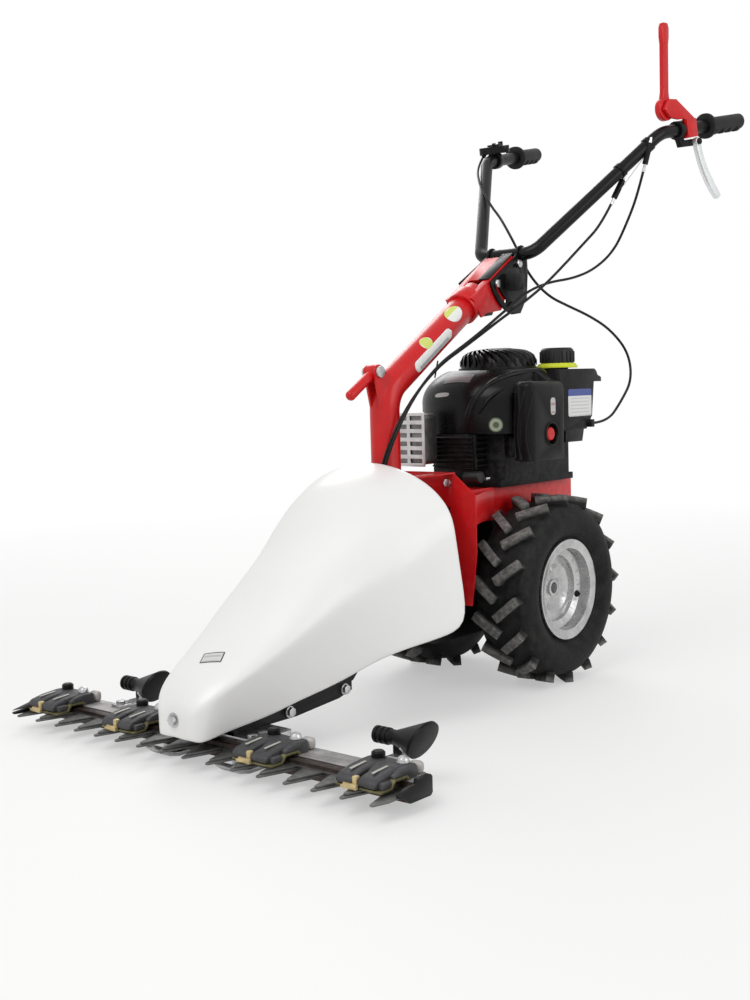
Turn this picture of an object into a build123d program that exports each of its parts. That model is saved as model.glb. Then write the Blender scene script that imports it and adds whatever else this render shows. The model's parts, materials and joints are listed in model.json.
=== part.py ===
from build123d import *
import os
from math import cos, radians, sin, tan

os.makedirs("parts", exist_ok=True)

# Two-wheeled brush mower with a reciprocating cutter bar ahead of its wheels.
# Millimetres. Forward is -Y, the machine's left is +X, the ground is z = 0,
# and the origin is on the ground under the middle of the whole machine.

# ---------------------------------------------------------------- overall layout
BAR_REACH = 778.0          # cutter teeth ahead of the axle
GRIP_REACH = 545.0         # grips' rear rims behind the axle
AXLE_Y = (BAR_REACH - GRIP_REACH) / 2
GRIP_END_Y = AXLE_Y + GRIP_REACH - 4.0
RUN = 0.05                 # radial running clearance of a shaft in its bore
GAP = 0.3                  # clearance beside a moving or curved face
SHEET = 3.0                # pressed steel sheet

# hexagon bolts
BOLT_R = 4.0
HEAD_R = 7.5
HEAD_HIGH = 5.3

# wheels
WHEEL_R = 168.0
TRACK = 250.0
LUG_HEIGHT = 12.0
LUG_COUNT = 16
LUG_WIDTH = 15.0
TREAD_HALF = 45.0
TYRE_HALF = 57.0
TYRE_WALL = 8.0
RIM_R = 89.0
RIM_HALF = 47.0
BEAD_R = 76.0
DISC_DEPTH = 37.0
AXLE_R = 10.0
HUB_R = 15.0
AXLE_Z = WHEEL_R

# engine deck and gearbox
DECK_Z = 352.0
DECK_HALF = 64.0
DECK_FRONT = AXLE_Y - 140.0
DECK_REAR = AXLE_Y + 182.0
DECK_SHEET = 4.0
DECK_DEPTH = 58.0
GEARBOX_HALF = 48.0
GEARBOX_FRONT = AXLE_Y - 342.0
GEARBOX_REAR = AXLE_Y + 62.0
GEARBOX_TOP = 326.0
GEARBOX_BASE = 96.0
GEARBOX_WALL = 8.0

# steering column and its head
COLUMN_R = 25.0
COLUMN_WALL = 3.0
COLUMN_Y = AXLE_Y - 290.0
BEND_Z = 526.0
COLUMN_RAKE = 33.0
COLUMN_BEND_R = 62.0
FOOT_BOLT = 34.0
PIVOT_Y = AXLE_Y + 60.0
CHEEK_HALF = 30.0
CHEEK = 4.0
LOCK_REACH = 80.0
HEAD_BOLT_R = 4.0

# handlebar
BAR_TUBE_R = 12.0
CROSS_HALF = 59.0
CROSS_Y = AXLE_Y + 73.0
CROSS_Z = 772.0
ARM_HALF = 200.0
ARM_Y = AXLE_Y + 297.0
ARM_Z = 995.0
GRIP_HALF = 241.0
GRIP_END_Z = 1043.0
BAR_BEND_R = 62.0
CROSS_BEND_R = 32.0
GRIP_R = 15.0
FLANGE_R = 24.0

# cutter bar
TOOTH_PITCH = 50.0
BAR_HALF = 392.0
SHOE_THICK = 7.5
BEAM_HALF = BAR_HALF - SHOE_THICK
TEETH = round(2 * BAR_HALF / TOOTH_PITCH)
BLADE_SHEET = 3.0
BEAM_BASE = 16.0
BEAM_STEP = 8.0            # thickness under the blades
BEAM_THICK = 20.0          # thickness behind the blades
BEAM_FRONT = AXLE_Y - 722.0
BEAM_REAR = AXLE_Y - 658.0
TOOTH_TIP_Y = AXLE_Y - BAR_REACH
STROKE = 25.0
HOLDER_HALF = 37.0
HOLDER_SHIFT = -7.0
HOLDER_OUTER = BAR_HALF - 54.0
HOLDER_INNER = 145.0
HOLDER_AT = [side * reach + HOLDER_SHIFT
             for side, reach in ((-1, HOLDER_OUTER), (-1, HOLDER_INNER), (1, HOLDER_INNER), (1, HOLDER_OUTER))]
KNOB_AT = (-HOLDER_OUTER + 85.0, HOLDER_OUTER - 42.0)
SKID_X = 75.0
SKID_HALF = 20.0
SKID_SOLE = 6.0

# front cover
COVER_REAR = AXLE_Y - 332.0
COVER_SKIN = 3.5

# engine
CRANK_Y = AXLE_Y + 40.0
CRANK_R = 12.5
BLOCK_TOP = 447.0
BLOCK_HALF = 80.0
BLOCK_FRONT = AXLE_Y - 60.0
BLOCK_REAR = AXLE_Y + 150.0
FOOT_THICK = 12.0
FOOT_REACH = 14.0
MOUNT_BOLTS = [(x, y) for x in (-45.0, 45.0) for y in (BLOCK_FRONT - 7.0, BLOCK_REAR + 7.0)]
FAN_R = 88.0
FAN_HOUSING_R = 104.0
SHROUD_R = 143.0
SHROUD_TOP = 560.0
DOME_R = 74.0
DOME_TOP = 600.0
CAP_R = 32.0

# control cables: centre lines counted from the axle, and outside radius
CABLE_R = 3.0
THROTTLE_END = (134.0, 149.0, 457.0)


def at(x, y, z):
    return Location((x, y, z))


def side_plane(x, y=0.0, z=0.0):
    # sketch plane facing +X: its first axis runs rearward, its second up
    return Plane(origin=(x, y, z), x_dir=(0, 1, 0), z_dir=(1, 0, 0))


# ================================================================ wheels
AXLE_LINE = Axis((0, AXLE_Y, AXLE_Z), (1, 0, 0))


def wheel_plane(x):
    # first axis along the axle, second axis outward from it
    return Plane(origin=(x, AXLE_Y, AXLE_Z), x_dir=(1, 0, 0), z_dir=(0, -1, 0))


CARCASS_R = WHEEL_R - LUG_HEIGHT
BEAD_X = RIM_HALF - 6.0
BEAD_SEAT = BEAD_R + GAP
SIDE_R = (RIM_R + CARCASS_R) / 2 - 4.0
SHOULDER_R = CARCASS_R - 6.0
LUG_SWEEP = 38.0
LUG_FOOT = CARCASS_R - TYRE_WALL + 1.0


def lug_places(x):
    # chevron bars: each side's bars sit half a step behind the other side's
    step = 360.0 / LUG_COUNT
    places = []
    for count in range(LUG_COUNT):
        for side in (-1, 1):
            turn = step * (count + 0.25 * side)
            hub = Location((x, AXLE_Y, AXLE_Z), (turn, 0, 0))
            bar = Location((side * TREAD_HALF * 0.5, 0, LUG_FOOT), (0, 0, side * LUG_SWEEP))
            places.append(hub * bar)
    return places


for name, side in (("left", 1), ("right", -1)):
    centre = side * TRACK / 2
    with BuildPart() as tyre:
        with BuildSketch(wheel_plane(centre)):
            inner = TYRE_HALF - TYRE_WALL
            lining_r = SHOULDER_R - TYRE_WALL
            with BuildLine():
                Line((BEAD_X, BEAD_SEAT), (BEAD_X, RIM_R + 3))
                Spline((BEAD_X, RIM_R + 3), (TYRE_HALF, SIDE_R), (TREAD_HALF, SHOULDER_R))
                ThreePointArc((TREAD_HALF, SHOULDER_R), (0, CARCASS_R), (-TREAD_HALF, SHOULDER_R))
                Spline((-TREAD_HALF, SHOULDER_R), (-TYRE_HALF, SIDE_R), (-BEAD_X, RIM_R + 3))
                Line((-BEAD_X, RIM_R + 3), (-BEAD_X, BEAD_SEAT))
                Line((-BEAD_X, BEAD_SEAT), (-BEAD_X + 12, BEAD_SEAT))
                Line((-BEAD_X + 12, BEAD_SEAT), (-BEAD_X + 10, RIM_R + 3))
                Spline((-BEAD_X + 10, RIM_R + 3), (-inner, SIDE_R), (-TREAD_HALF + 7, lining_r))
                ThreePointArc((-TREAD_HALF + 7, lining_r), (0, CARCASS_R - TYRE_WALL),
                              (TREAD_HALF - 7, lining_r))
                Spline((TREAD_HALF - 7, lining_r), (inner, SIDE_R), (BEAD_X - 10, RIM_R + 3))
                Line((BEAD_X - 10, RIM_R + 3), (BEAD_X - 12, BEAD_SEAT))
                Line((BEAD_X - 12, BEAD_SEAT), (BEAD_X, BEAD_SEAT))
            make_face()
        revolve(axis=AXLE_LINE)
        with Locations(*lug_places(centre)):
            Box(TREAD_HALF * 1.28, LUG_WIDTH, WHEEL_R - LUG_FOOT + 6,
                align=(Align.CENTER, Align.CENTER, Align.MIN))
        with Locations(Location((centre, AXLE_Y, AXLE_Z), (0, 90, 0))):
            Cylinder(WHEEL_R, 2 * TYRE_HALF + 10, mode=Mode.INTERSECT)
    tyre.part.label = f"tyre_{name}"
    export_step(tyre.part, f"parts/tyre_{name}.step")

    out = side
    with BuildPart() as rim:
        with BuildSketch(wheel_plane(centre)):
            with BuildLine():
                Polyline(
                    (-RIM_HALF, RIM_R), (-RIM_HALF + 4, RIM_R), (-RIM_HALF + 5, RIM_R - 4),
                    (-RIM_HALF + 5, BEAD_R), (-22, BEAD_R - 1), (-18, BEAD_R - 14),
                    (18, BEAD_R - 14), (22, BEAD_R - 1), (RIM_HALF - 5, BEAD_R),
                    (RIM_HALF - 5, RIM_R - 4), (RIM_HALF - 4, RIM_R), (RIM_HALF, RIM_R),
                    (RIM_HALF, RIM_R - 3), (RIM_HALF - 2, RIM_R - 6), (RIM_HALF - 2, BEAD_R - SHEET),
                    (24, BEAD_R - 1 - SHEET), (20, BEAD_R - 14 - SHEET), (-20, BEAD_R - 14 - SHEET),
                    (-24, BEAD_R - 1 - SHEET), (-RIM_HALF + 2, BEAD_R - SHEET),
                    (-RIM_HALF + 2, RIM_R - 6), (-RIM_HALF, RIM_R - 3), close=True,
                )
            make_face()
            disc_x = RIM_HALF - DISC_DEPTH
            with BuildLine():
                Polyline(
                    (out * disc_x, HUB_R - 1), (out * disc_x, HUB_R + 18), (out * (disc_x + 6), 44),
                    (out * (disc_x + 3), BEAD_R - 16), (out * disc_x, BEAD_R - 16),
                    (out * (disc_x + 3), 44), (out * (disc_x - 3), HUB_R + 18),
                    (out * (disc_x - 3), HUB_R - 1), close=True,
                )
            make_face()
            with BuildLine():
                Polyline(
                    (out * (disc_x + 5), AXLE_R + RUN), (out * (disc_x + 5), HUB_R),
                    (-out * (TRACK / 2 - DECK_HALF), HUB_R), (-out * (TRACK / 2 - DECK_HALF), AXLE_R + RUN),
                    close=True,
                )
            make_face()
        revolve(axis=AXLE_LINE)
        # valve stem in the rim's dish
        valve = Location((centre + out * (disc_x + 14), AXLE_Y, AXLE_Z), (0, 0, 0))
        with Locations(valve * Location((0, 0, 0), (35, 0, 0)) * Location((0, 0, BEAD_R - 24))):
            Cylinder(4, 16)
    rim.part.label = f"rim_{name}"
    export_step(rim.part, f"parts/rim_{name}.step")

AXLE_HALF = TRACK / 2 - 4.0
with BuildPart() as axle:
    with Locations(Location((0, AXLE_Y, AXLE_Z), (0, 90, 0))):
        Cylinder(AXLE_R, 2 * AXLE_HALF)
axle.part.label = "axle"
export_step(axle.part, "parts/axle.step")

# ================================================================ chassis
CRANK_FOOT = DECK_Z - 46.0
GEARBOX_BOLTS = ((AXLE_Y - 60.0, 334.0 - 30.0), (AXLE_Y + 40.0, 334.0 - 30.0))
with BuildPart() as gearbox:
    with BuildSketch(side_plane(-GEARBOX_HALF)):
        with BuildLine():
            Polyline(
                (GEARBOX_REAR, 120), (GEARBOX_REAR, GEARBOX_TOP), (GEARBOX_FRONT + 20, GEARBOX_TOP),
                (GEARBOX_FRONT, GEARBOX_TOP - 26), (GEARBOX_FRONT, 120), (AXLE_Y - 230, GEARBOX_BASE),
                (GEARBOX_REAR - 30, GEARBOX_BASE), close=True,
            )
        make_face()
    extrude(amount=2 * GEARBOX_HALF)
    # the casting is hollow, with its walls thickened round the shafts
    with BuildSketch(side_plane(-GEARBOX_HALF + GEARBOX_WALL)):
        with Locations(((GEARBOX_FRONT + GEARBOX_REAR) / 2, (GEARBOX_TOP + 120) / 2)):
            Rectangle(GEARBOX_REAR - GEARBOX_FRONT - 2 * GEARBOX_WALL - 44, GEARBOX_TOP - 120 - 2 * GEARBOX_WALL)
    extrude(amount=2 * (GEARBOX_HALF - GEARBOX_WALL), mode=Mode.SUBTRACT)
    with Locations(Location((0, AXLE_Y, AXLE_Z), (0, 90, 0))):
        Cylinder(34, 2 * (DECK_HALF - 5))
        Cylinder(AXLE_R + RUN, 3 * DECK_HALF, mode=Mode.SUBTRACT)
    for bolt_y, bolt_z in GEARBOX_BOLTS:
        with Locations(Location((0, bolt_y, bolt_z), (0, 90, 0))):
            Cylinder(11, 2 * (DECK_HALF - DECK_SHEET))
        with Locations(Location((0, bolt_y, bolt_z), (0, 90, 0))):
            Cylinder(BOLT_R + GAP, 4 * DECK_HALF, mode=Mode.SUBTRACT)
    with Locations(at(0, COLUMN_Y, GEARBOX_TOP)):
        with GridLocations(2 * FOOT_BOLT, 2 * FOOT_BOLT, 2, 2):
            Cylinder(BOLT_R + GAP, 4 * GEARBOX_WALL, mode=Mode.SUBTRACT)
    # socket of the engine's shaft
    with Locations(at(0, CRANK_Y, (CRANK_FOOT + GEARBOX_TOP) / 2)):
        Cylinder(CRANK_R + RUN, GEARBOX_TOP - CRANK_FOOT + 4, mode=Mode.SUBTRACT)
gearbox.part.label = "gearbox"
export_step(gearbox.part, "parts/gearbox.step")

with BuildPart() as deck:
    with BuildSketch(Plane.XZ.offset(-DECK_REAR)):
        with BuildLine():
            Polyline(
                (-DECK_HALF, DECK_Z), (DECK_HALF, DECK_Z), (DECK_HALF, DECK_Z - DECK_DEPTH),
                (DECK_HALF - DECK_SHEET, DECK_Z - DECK_DEPTH), (DECK_HALF - DECK_SHEET, DECK_Z - DECK_SHEET),
                (-DECK_HALF + DECK_SHEET, DECK_Z - DECK_SHEET),
                (-DECK_HALF + DECK_SHEET, DECK_Z - DECK_DEPTH), (-DECK_HALF, DECK_Z - DECK_DEPTH), close=True,
            )
        make_face()
    extrude(amount=DECK_REAR - DECK_FRONT)
    with Locations(at(0, CRANK_Y, DECK_Z)):
        Cylinder(CRANK_R + 8, 4 * DECK_SHEET, mode=Mode.SUBTRACT)
    for bolt_y, bolt_z in GEARBOX_BOLTS:
        with Locations(Location((0, bolt_y, bolt_z), (0, 90, 0))):
            Cylinder(BOLT_R + GAP, 4 * DECK_HALF, mode=Mode.SUBTRACT)
    for bolt_x, bolt_y in MOUNT_BOLTS:
        with Locations(at(bolt_x, bolt_y, DECK_Z)):
            Cylinder(BOLT_R + GAP, 4 * DECK_SHEET, mode=Mode.SUBTRACT)
deck.part.label = "engine_deck"
export_step(deck.part, "parts/engine_deck.step")

# ---------------------------------------------------------------- form of the front cover
# stations: distance ahead of the axle, foot half width and height,
# shoulder half width and height, crown height
COVER_STATIONS = (
    (332.0, 200.0, 155.0, 174.0, 324.0, 414.0),
    (380.0, 176.0, 141.0, 162.0, 290.0, 401.0),
    (424.0, 152.0, 132.0, 151.0, 256.0, 383.0),
    (465.0, 122.0, 117.0, 131.0, 242.0, 350.0),
    (510.0, 101.0, 95.0, 113.0, 220.0, 309.0),
    (560.0, 90.0, 83.0, 105.0, 197.0, 267.0),
    (600.0, 81.0, 75.0, 98.0, 178.0, 234.0),
    (640.0, 70.0, 63.0, 88.0, 157.0, 200.0),
    (690.0, 61.0, 56.0, 76.0, 133.0, 163.0),
    (725.0, 54.0, 51.0, 66.0, 118.0, 140.0),
    (750.0, 50.0, 46.0, 55.0, 103.0, 121.0),
    (762.0, 43.0, 44.0, 43.0, 90.0, 106.0),
    (769.0, 33.0, 48.0, 34.0, 84.0, 96.0),
)


def hood(skin, overshoot):
    # the closed form of the hood, drawn in by a skin and lengthened at its open rear
    last = len(COVER_STATIONS) - 1
    drop = overshoot * 6
    with BuildPart() as form:
        for number, (ahead, foot, foot_z, shoulder, shoulder_z, crown) in enumerate(COVER_STATIONS):
            shift = overshoot if number == 0 else (skin if number == last else 0)
            with BuildSketch(Plane(origin=(0, AXLE_Y - ahead + shift, 0), x_dir=(1, 0, 0), z_dir=(0, -1, 0))):
                low = foot_z - drop
                with BuildLine():
                    Line((-foot + skin, low), (foot - skin, low))
                    Line((foot - skin, low), (shoulder - skin, shoulder_z))
                    bow = shoulder - skin
                    top = crown - skin
                    rise = top - shoulder_z
                    Spline((bow, shoulder_z), (bow * 0.83, shoulder_z + rise * 0.48),
                           (bow * 0.45, shoulder_z + rise * 0.86), (0, top),
                           (-bow * 0.45, shoulder_z + rise * 0.86), (-bow * 0.83, shoulder_z + rise * 0.48),
                           (-bow, shoulder_z))
                    Line((-bow, shoulder_z), (-foot + skin, low))
                make_face()
        loft()
    return form.part


# ---------------------------------------------------------------- front panel
PANEL_Y = AXLE_Y - 182.0
PANEL_HALF = 106.0
PANEL_FOOT_HALF = 94.0
PANEL_FOOT = 158.0
PANEL_TAB_HALF = 60.0
PANEL_TAB = 383.0
PANEL_WINDOW = GEARBOX_HALF + 4.0
COVER_BOLT_X = 50.0
COVER_BOLT_Z = 368.0
FRONT = Plane(origin=(0, PANEL_Y, 0), x_dir=(1, 0, 0), z_dir=(0, -1, 0))
with BuildPart() as panel:
    with BuildSketch(FRONT):
        with BuildLine():
            Polyline(
                (-PANEL_HALF, DECK_Z - 4), (-PANEL_TAB_HALF - 2, PANEL_TAB), (PANEL_TAB_HALF + 2, PANEL_TAB),
                (PANEL_HALF, DECK_Z - 4), (PANEL_HALF, 250), (PANEL_FOOT_HALF, PANEL_FOOT),
                (PANEL_WINDOW, PANEL_FOOT), (PANEL_WINDOW, GEARBOX_TOP + 2),
                (-PANEL_WINDOW, GEARBOX_TOP + 2), (-PANEL_WINDOW, PANEL_FOOT),
                (-PANEL_FOOT_HALF, PANEL_FOOT), (-PANEL_HALF, 250), close=True,
            )
        make_face()
    extrude(amount=SHEET)
    for side in (-1, 1):
        # returns that run back to the deck's flanges
        with BuildSketch(Plane.XY.offset(DECK_Z - 54)):
            with BuildLine():
                Polyline(
                    (side * PANEL_HALF, PANEL_Y), (side * (DECK_HALF + SHEET), DECK_FRONT + 44),
                    (side * (DECK_HALF + SHEET), DECK_FRONT + 64), (side * DECK_HALF, DECK_FRONT + 64),
                    (side * DECK_HALF, DECK_FRONT + 44), (side * (PANEL_HALF - SHEET), PANEL_Y), close=True,
                )
            make_face()
        extrude(amount=50)
        with Locations(Location((side * COVER_BOLT_X, PANEL_Y, COVER_BOLT_Z), (90, 0, 0))):
            Cylinder(BOLT_R, 6 * SHEET, mode=Mode.SUBTRACT)
    # shelf that rests on the gearbox and carries the panel's middle
    with Locations(at(0, (PANEL_Y - SHEET + DECK_FRONT + 2) / 2, GEARBOX_TOP + SHEET / 2)):
        Box(2 * GEARBOX_HALF, DECK_FRONT + 2 - PANEL_Y + SHEET, SHEET)
panel.part.label = "front_panel"
export_step(panel.part, "parts/front_panel.step")

# ================================================================ steering column
RAKE = radians(COLUMN_RAKE)
PIVOT_Z = BEND_Z + (PIVOT_Y - COLUMN_Y) * tan(RAKE)
COLUMN_TOP_Y = AXLE_Y - 28.0
COLUMN_TOP_Z = BEND_Z + (COLUMN_TOP_Y - COLUMN_Y) * tan(RAKE)
COLUMN_FOOT = GEARBOX_TOP
FOOT_PLATE = 8.0
FOOT_HALF = 44.0


def along(distance, x=0.0, rise=0.0):
    # a point on the raked tube's line, counted back from the handlebar pivot
    return (x, PIVOT_Y - distance * cos(RAKE) - rise * sin(RAKE),
            PIVOT_Z - distance * sin(RAKE) + rise * cos(RAKE))


def raked(distance, x=0.0, rise=0.0):
    # first axis along +X, second square to the tube, third up along the tube
    return Plane(origin=along(distance, x, rise), x_dir=(1, 0, 0), z_dir=(0, cos(RAKE), sin(RAKE)))


# two ears on the bend carry the selector lever's cross bolt
LEVER_Y = COLUMN_Y - 26.0
LEVER_Z = BEND_Z + 34.0
LEVER_BOLT_R = 5.0
LEVER_HUB_R = 12.0
LEVER_HUB_HALF = 8.0
EAR = 4.0
with BuildPart() as column:
    with BuildLine():
        FilletPolyline((0, COLUMN_Y, COLUMN_FOOT + FOOT_PLATE), (0, COLUMN_Y, BEND_Z),
                       (0, COLUMN_TOP_Y, COLUMN_TOP_Z), radius=COLUMN_BEND_R)
    with BuildSketch(Plane(origin=(0, COLUMN_Y, COLUMN_FOOT + FOOT_PLATE), z_dir=(0, 0, 1))):
        Circle(COLUMN_R)
        Circle(COLUMN_R - COLUMN_WALL, mode=Mode.SUBTRACT)
    sweep()
    with Locations(at(0, COLUMN_Y, COLUMN_FOOT + FOOT_PLATE / 2)):
        Box(2 * FOOT_HALF, 2 * FOOT_HALF, FOOT_PLATE)
        with GridLocations(2 * FOOT_BOLT, 2 * FOOT_BOLT, 2, 2):
            Cylinder(BOLT_R + GAP, 2 * FOOT_PLATE, mode=Mode.SUBTRACT)
    for ear_x in (-LEVER_HUB_HALF - GAP - EAR, LEVER_HUB_HALF + GAP):
        with BuildSketch(side_plane(ear_x)):
            with Locations((LEVER_Y, LEVER_Z)):
                Circle(LEVER_HUB_R)
            with BuildLine():
                Polyline((LEVER_Y - LEVER_HUB_R, LEVER_Z), (COLUMN_Y - 23, BEND_Z - 26),
                         (COLUMN_Y + 16, BEND_Z + 24), (LEVER_Y + LEVER_HUB_R, LEVER_Z + 2), close=True)
            make_face()
        extrude(amount=EAR)
    with Locations(Location((0, LEVER_Y, LEVER_Z), (0, 90, 0))):
        Cylinder(LEVER_HUB_R + 1.5, 2 * (LEVER_HUB_HALF + GAP), mode=Mode.SUBTRACT)
        Cylinder(LEVER_BOLT_R + RUN, 8 * EAR, mode=Mode.SUBTRACT)
column.part.label = "steering_column"
export_step(column.part, "parts/steering_column.step")

LEVER_LENGTH = 76.0
LEVER_ROD_R = 8.5
with BuildPart() as selector:
    with Locations(Location((0, LEVER_Y, LEVER_Z), (0, 90, 0))):
        Cylinder(LEVER_HUB_R, 2 * LEVER_HUB_HALF)
    with BuildSketch(Plane(origin=(0, LEVER_Y, LEVER_Z), x_dir=(1, 0, 0), z_dir=(0, -cos(RAKE), -sin(RAKE)))):
        Circle(LEVER_ROD_R - 0.5)
    extrude(amount=LEVER_HUB_R + 6)
    with BuildSketch(Plane(origin=(0, LEVER_Y - (LEVER_HUB_R + 2) * cos(RAKE), LEVER_Z - (LEVER_HUB_R + 2) * sin(RAKE)),
                           x_dir=(1, 0, 0), z_dir=(0, -cos(RAKE), -sin(RAKE)))):
        Circle(LEVER_ROD_R)
    extrude(amount=LEVER_LENGTH - LEVER_HUB_R - 2)
    fillet(selector.faces().sort_by(Axis((0, 0, 0), (0, cos(RAKE), sin(RAKE))))[0].edges(), LEVER_ROD_R - 1.5)
    with Locations(Location((0, LEVER_Y, LEVER_Z), (0, 90, 0))):
        Cylinder(LEVER_BOLT_R + RUN, 4 * LEVER_HUB_HALF, mode=Mode.SUBTRACT)
selector.part.label = "selector_lever"
export_step(selector.part, "parts/selector_lever.step")

# ---------------------------------------------------------------- head bracket
LOCK_ANGLE = radians(209.3)
LOCK_Y = PIVOT_Y + LOCK_REACH * cos(LOCK_ANGLE)
LOCK_Z = PIVOT_Z + LOCK_REACH * sin(LOCK_ANGLE)


def off_pivot(dy, dz):
    return (PIVOT_Y + dy, PIVOT_Z + dz)


with BuildPart() as head:
    with BuildSketch(side_plane(-CHEEK_HALF)):
        with BuildLine():
            Polyline(
                off_pivot(-138, -66), off_pivot(-110, -100), off_pivot(-96, -92), off_pivot(-50, -86),
                off_pivot(-34, -60), off_pivot(8, -12), off_pivot(9, 0), off_pivot(8, 5), off_pivot(4, 9),
                off_pivot(-2, 10), off_pivot(-14, 14), off_pivot(-128, -60), close=True,
            )
        make_face()
    extrude(amount=2 * CHEEK_HALF)
    with BuildSketch(side_plane(-CHEEK_HALF + CHEEK)):
        with BuildLine():
            Polyline(
                off_pivot(-160, -130), off_pivot(-40, -130), off_pivot(40, -60), off_pivot(40, 30),
                off_pivot(4, 30), off_pivot(-13, 9), off_pivot(-135, -71), close=True,
            )
        make_face()
    extrude(amount=2 * (CHEEK_HALF - CHEEK), mode=Mode.SUBTRACT)
    with Locations(Location((0, PIVOT_Y, PIVOT_Z), (0, 90, 0))):
        Cylinder(HEAD_BOLT_R + RUN, 4 * CHEEK_HALF, mode=Mode.SUBTRACT)
    with Locations(Location((0, LOCK_Y, LOCK_Z), (0, 90, 0))):
        Cylinder(HEAD_BOLT_R + RUN, 4 * CHEEK_HALF, mode=Mode.SUBTRACT)
    # collar that grips the tube below the cheeks
    with BuildSketch(raked(156)):
        Circle(COLUMN_R + 5)
    extrude(amount=30)
    with BuildSketch(raked(156)):
        Circle(COLUMN_R)
    extrude(amount=70, mode=Mode.SUBTRACT)
head.part.label = "head_bracket"
export_step(head.part, "parts/head_bracket.step")

# ================================================================ front cover
hood_outside = hood(0.0, 0.0)
hood_inside = hood(COVER_SKIN, 2.0)
NOSE_BOLT_Z = 74.0
with BuildPart() as cover:
    add(hood_outside)
    add(hood_inside, mode=Mode.SUBTRACT)
    with Locations(Location((0, AXLE_Y - 769, NOSE_BOLT_Z), (90, 0, 0))):
        Cylinder(BOLT_R + GAP, 30, mode=Mode.SUBTRACT)
cover.part.label = "front_cover"
export_step(cover.part, "parts/front_cover.step")

# ================================================================ drive to the bar
ARM = 6.0
DRIVE_HALF = 37.0
KNIFE_CRANK_Y = AXLE_Y - 660.0
ARM_BOLTS = ((AXLE_Y - 581.0, 52.0), (AXLE_Y - 457.0, 62.0))
BLADE_BASE = BEAM_BASE + BEAM_STEP
BLADE_TOP = BLADE_BASE + BLADE_SHEET
KNIFE_BASE = BLADE_TOP + RUN * 2
KNIFE_TOP = KNIFE_BASE + BLADE_SHEET
SPINE_TOP = KNIFE_TOP + 5.0
MOUNT_Z = BEAM_BASE + BEAM_THICK
MOUNT_THICK = 6.0
YOKE_BASE = MOUNT_Z + MOUNT_THICK + 1.0
YOKE_TOP = YOKE_BASE + 4.0
DISC_BASE = YOKE_TOP + 6.0
DISC_THICK = 8.0
DISC_R = 35.0
SHAFT_R = 9.0
DRIVE_BASE = YOKE_TOP + 3.0
DRIVE_TOP = 86.0
with BuildPart() as drive:
    with BuildSketch(side_plane(-DRIVE_HALF)):
        with BuildLine():
            Polyline(
                (GEARBOX_FRONT, 150), (GEARBOX_FRONT, 230), (AXLE_Y - 430, 180), (AXLE_Y - 560, 104),
                (KNIFE_CRANK_Y, DRIVE_TOP), (KNIFE_CRANK_Y - 44, DRIVE_TOP - 8), (KNIFE_CRANK_Y - 44, DRIVE_BASE),
                (KNIFE_CRANK_Y + 60, DRIVE_BASE), (AXLE_Y - 430, 70), close=True,
            )
        make_face()
    extrude(amount=2 * DRIVE_HALF)
    for bolt_y, bolt_z in ARM_BOLTS:
        with Locations(Location((0, bolt_y, bolt_z), (0, 90, 0))):
            Cylinder(10, 2 * DRIVE_HALF)
            Cylinder(BOLT_R + GAP, 4 * DRIVE_HALF, mode=Mode.SUBTRACT)
    with Locations(at(0, KNIFE_CRANK_Y, DISC_BASE - 20)):
        Cylinder(DISC_R + 1.5, 20 + DISC_THICK + GAP, align=(Align.CENTER, Align.CENTER, Align.MIN),
                 mode=Mode.SUBTRACT)
        Cylinder(SHAFT_R + RUN, 44, align=(Align.CENTER, Align.CENTER, Align.MIN), mode=Mode.SUBTRACT)
drive.part.label = "drive_housing"
export_step(drive.part, "parts/drive_housing.step")

PIN_R = 6.0
PIN_CLEAR = 1.0
with BuildPart() as knife_crank:
    with Locations(at(0, KNIFE_CRANK_Y, DISC_BASE)):
        Cylinder(DISC_R, DISC_THICK, align=(Align.CENTER, Align.CENTER, Align.MIN))
        Cylinder(SHAFT_R, DISC_THICK + 14, align=(Align.CENTER, Align.CENTER, Align.MIN))
    # the pin stops just above the yoke's slot: this pivot of the linkage is left open
    with Locations(at(0, KNIFE_CRANK_Y - STROKE, YOKE_TOP + PIN_CLEAR)):
        Cylinder(PIN_R, DISC_BASE - YOKE_TOP - PIN_CLEAR, align=(Align.CENTER, Align.CENTER, Align.MIN))
knife_crank.part.label = "knife_crank"
export_step(knife_crank.part, "parts/knife_crank.step")

MOUNT_HALF = 92.0
PLATE_BOLTS = [(x, y) for x in (-SKID_X, SKID_X) for y in (BEAM_REAR - 10.0, BEAM_REAR - 31.0)]
STUD_Y = AXLE_Y - 687.0
STUD_STEP = 21.0
KNOB_STUD_Y = BEAM_REAR - 9.0
STUDS = [(x + dx, STUD_Y) for x in HOLDER_AT for dx in (-STUD_STEP, STUD_STEP)]
STUDS += [(x, KNOB_STUD_Y) for x in KNOB_AT]
MOUNT_REAR = AXLE_Y - 622.0
BLADE_REAR = AXLE_Y - 700.0
with BuildPart() as mount:
    with Locations(at(0, (BLADE_REAR + GAP + MOUNT_REAR) / 2, MOUNT_Z + MOUNT_THICK / 2)):
        Box(2 * MOUNT_HALF, MOUNT_REAR - BLADE_REAR - GAP, MOUNT_THICK)
    fillet(mount.edges().filter_by(Axis.Z), 10)
    with Locations(*[at(x, y, MOUNT_Z) for x, y in PLATE_BOLTS]):
        Cylinder(BOLT_R + GAP, 4 * MOUNT_THICK, mode=Mode.SUBTRACT)
mount.part.label = "mount_plate"
export_step(mount.part, "parts/mount_plate.step")

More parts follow.
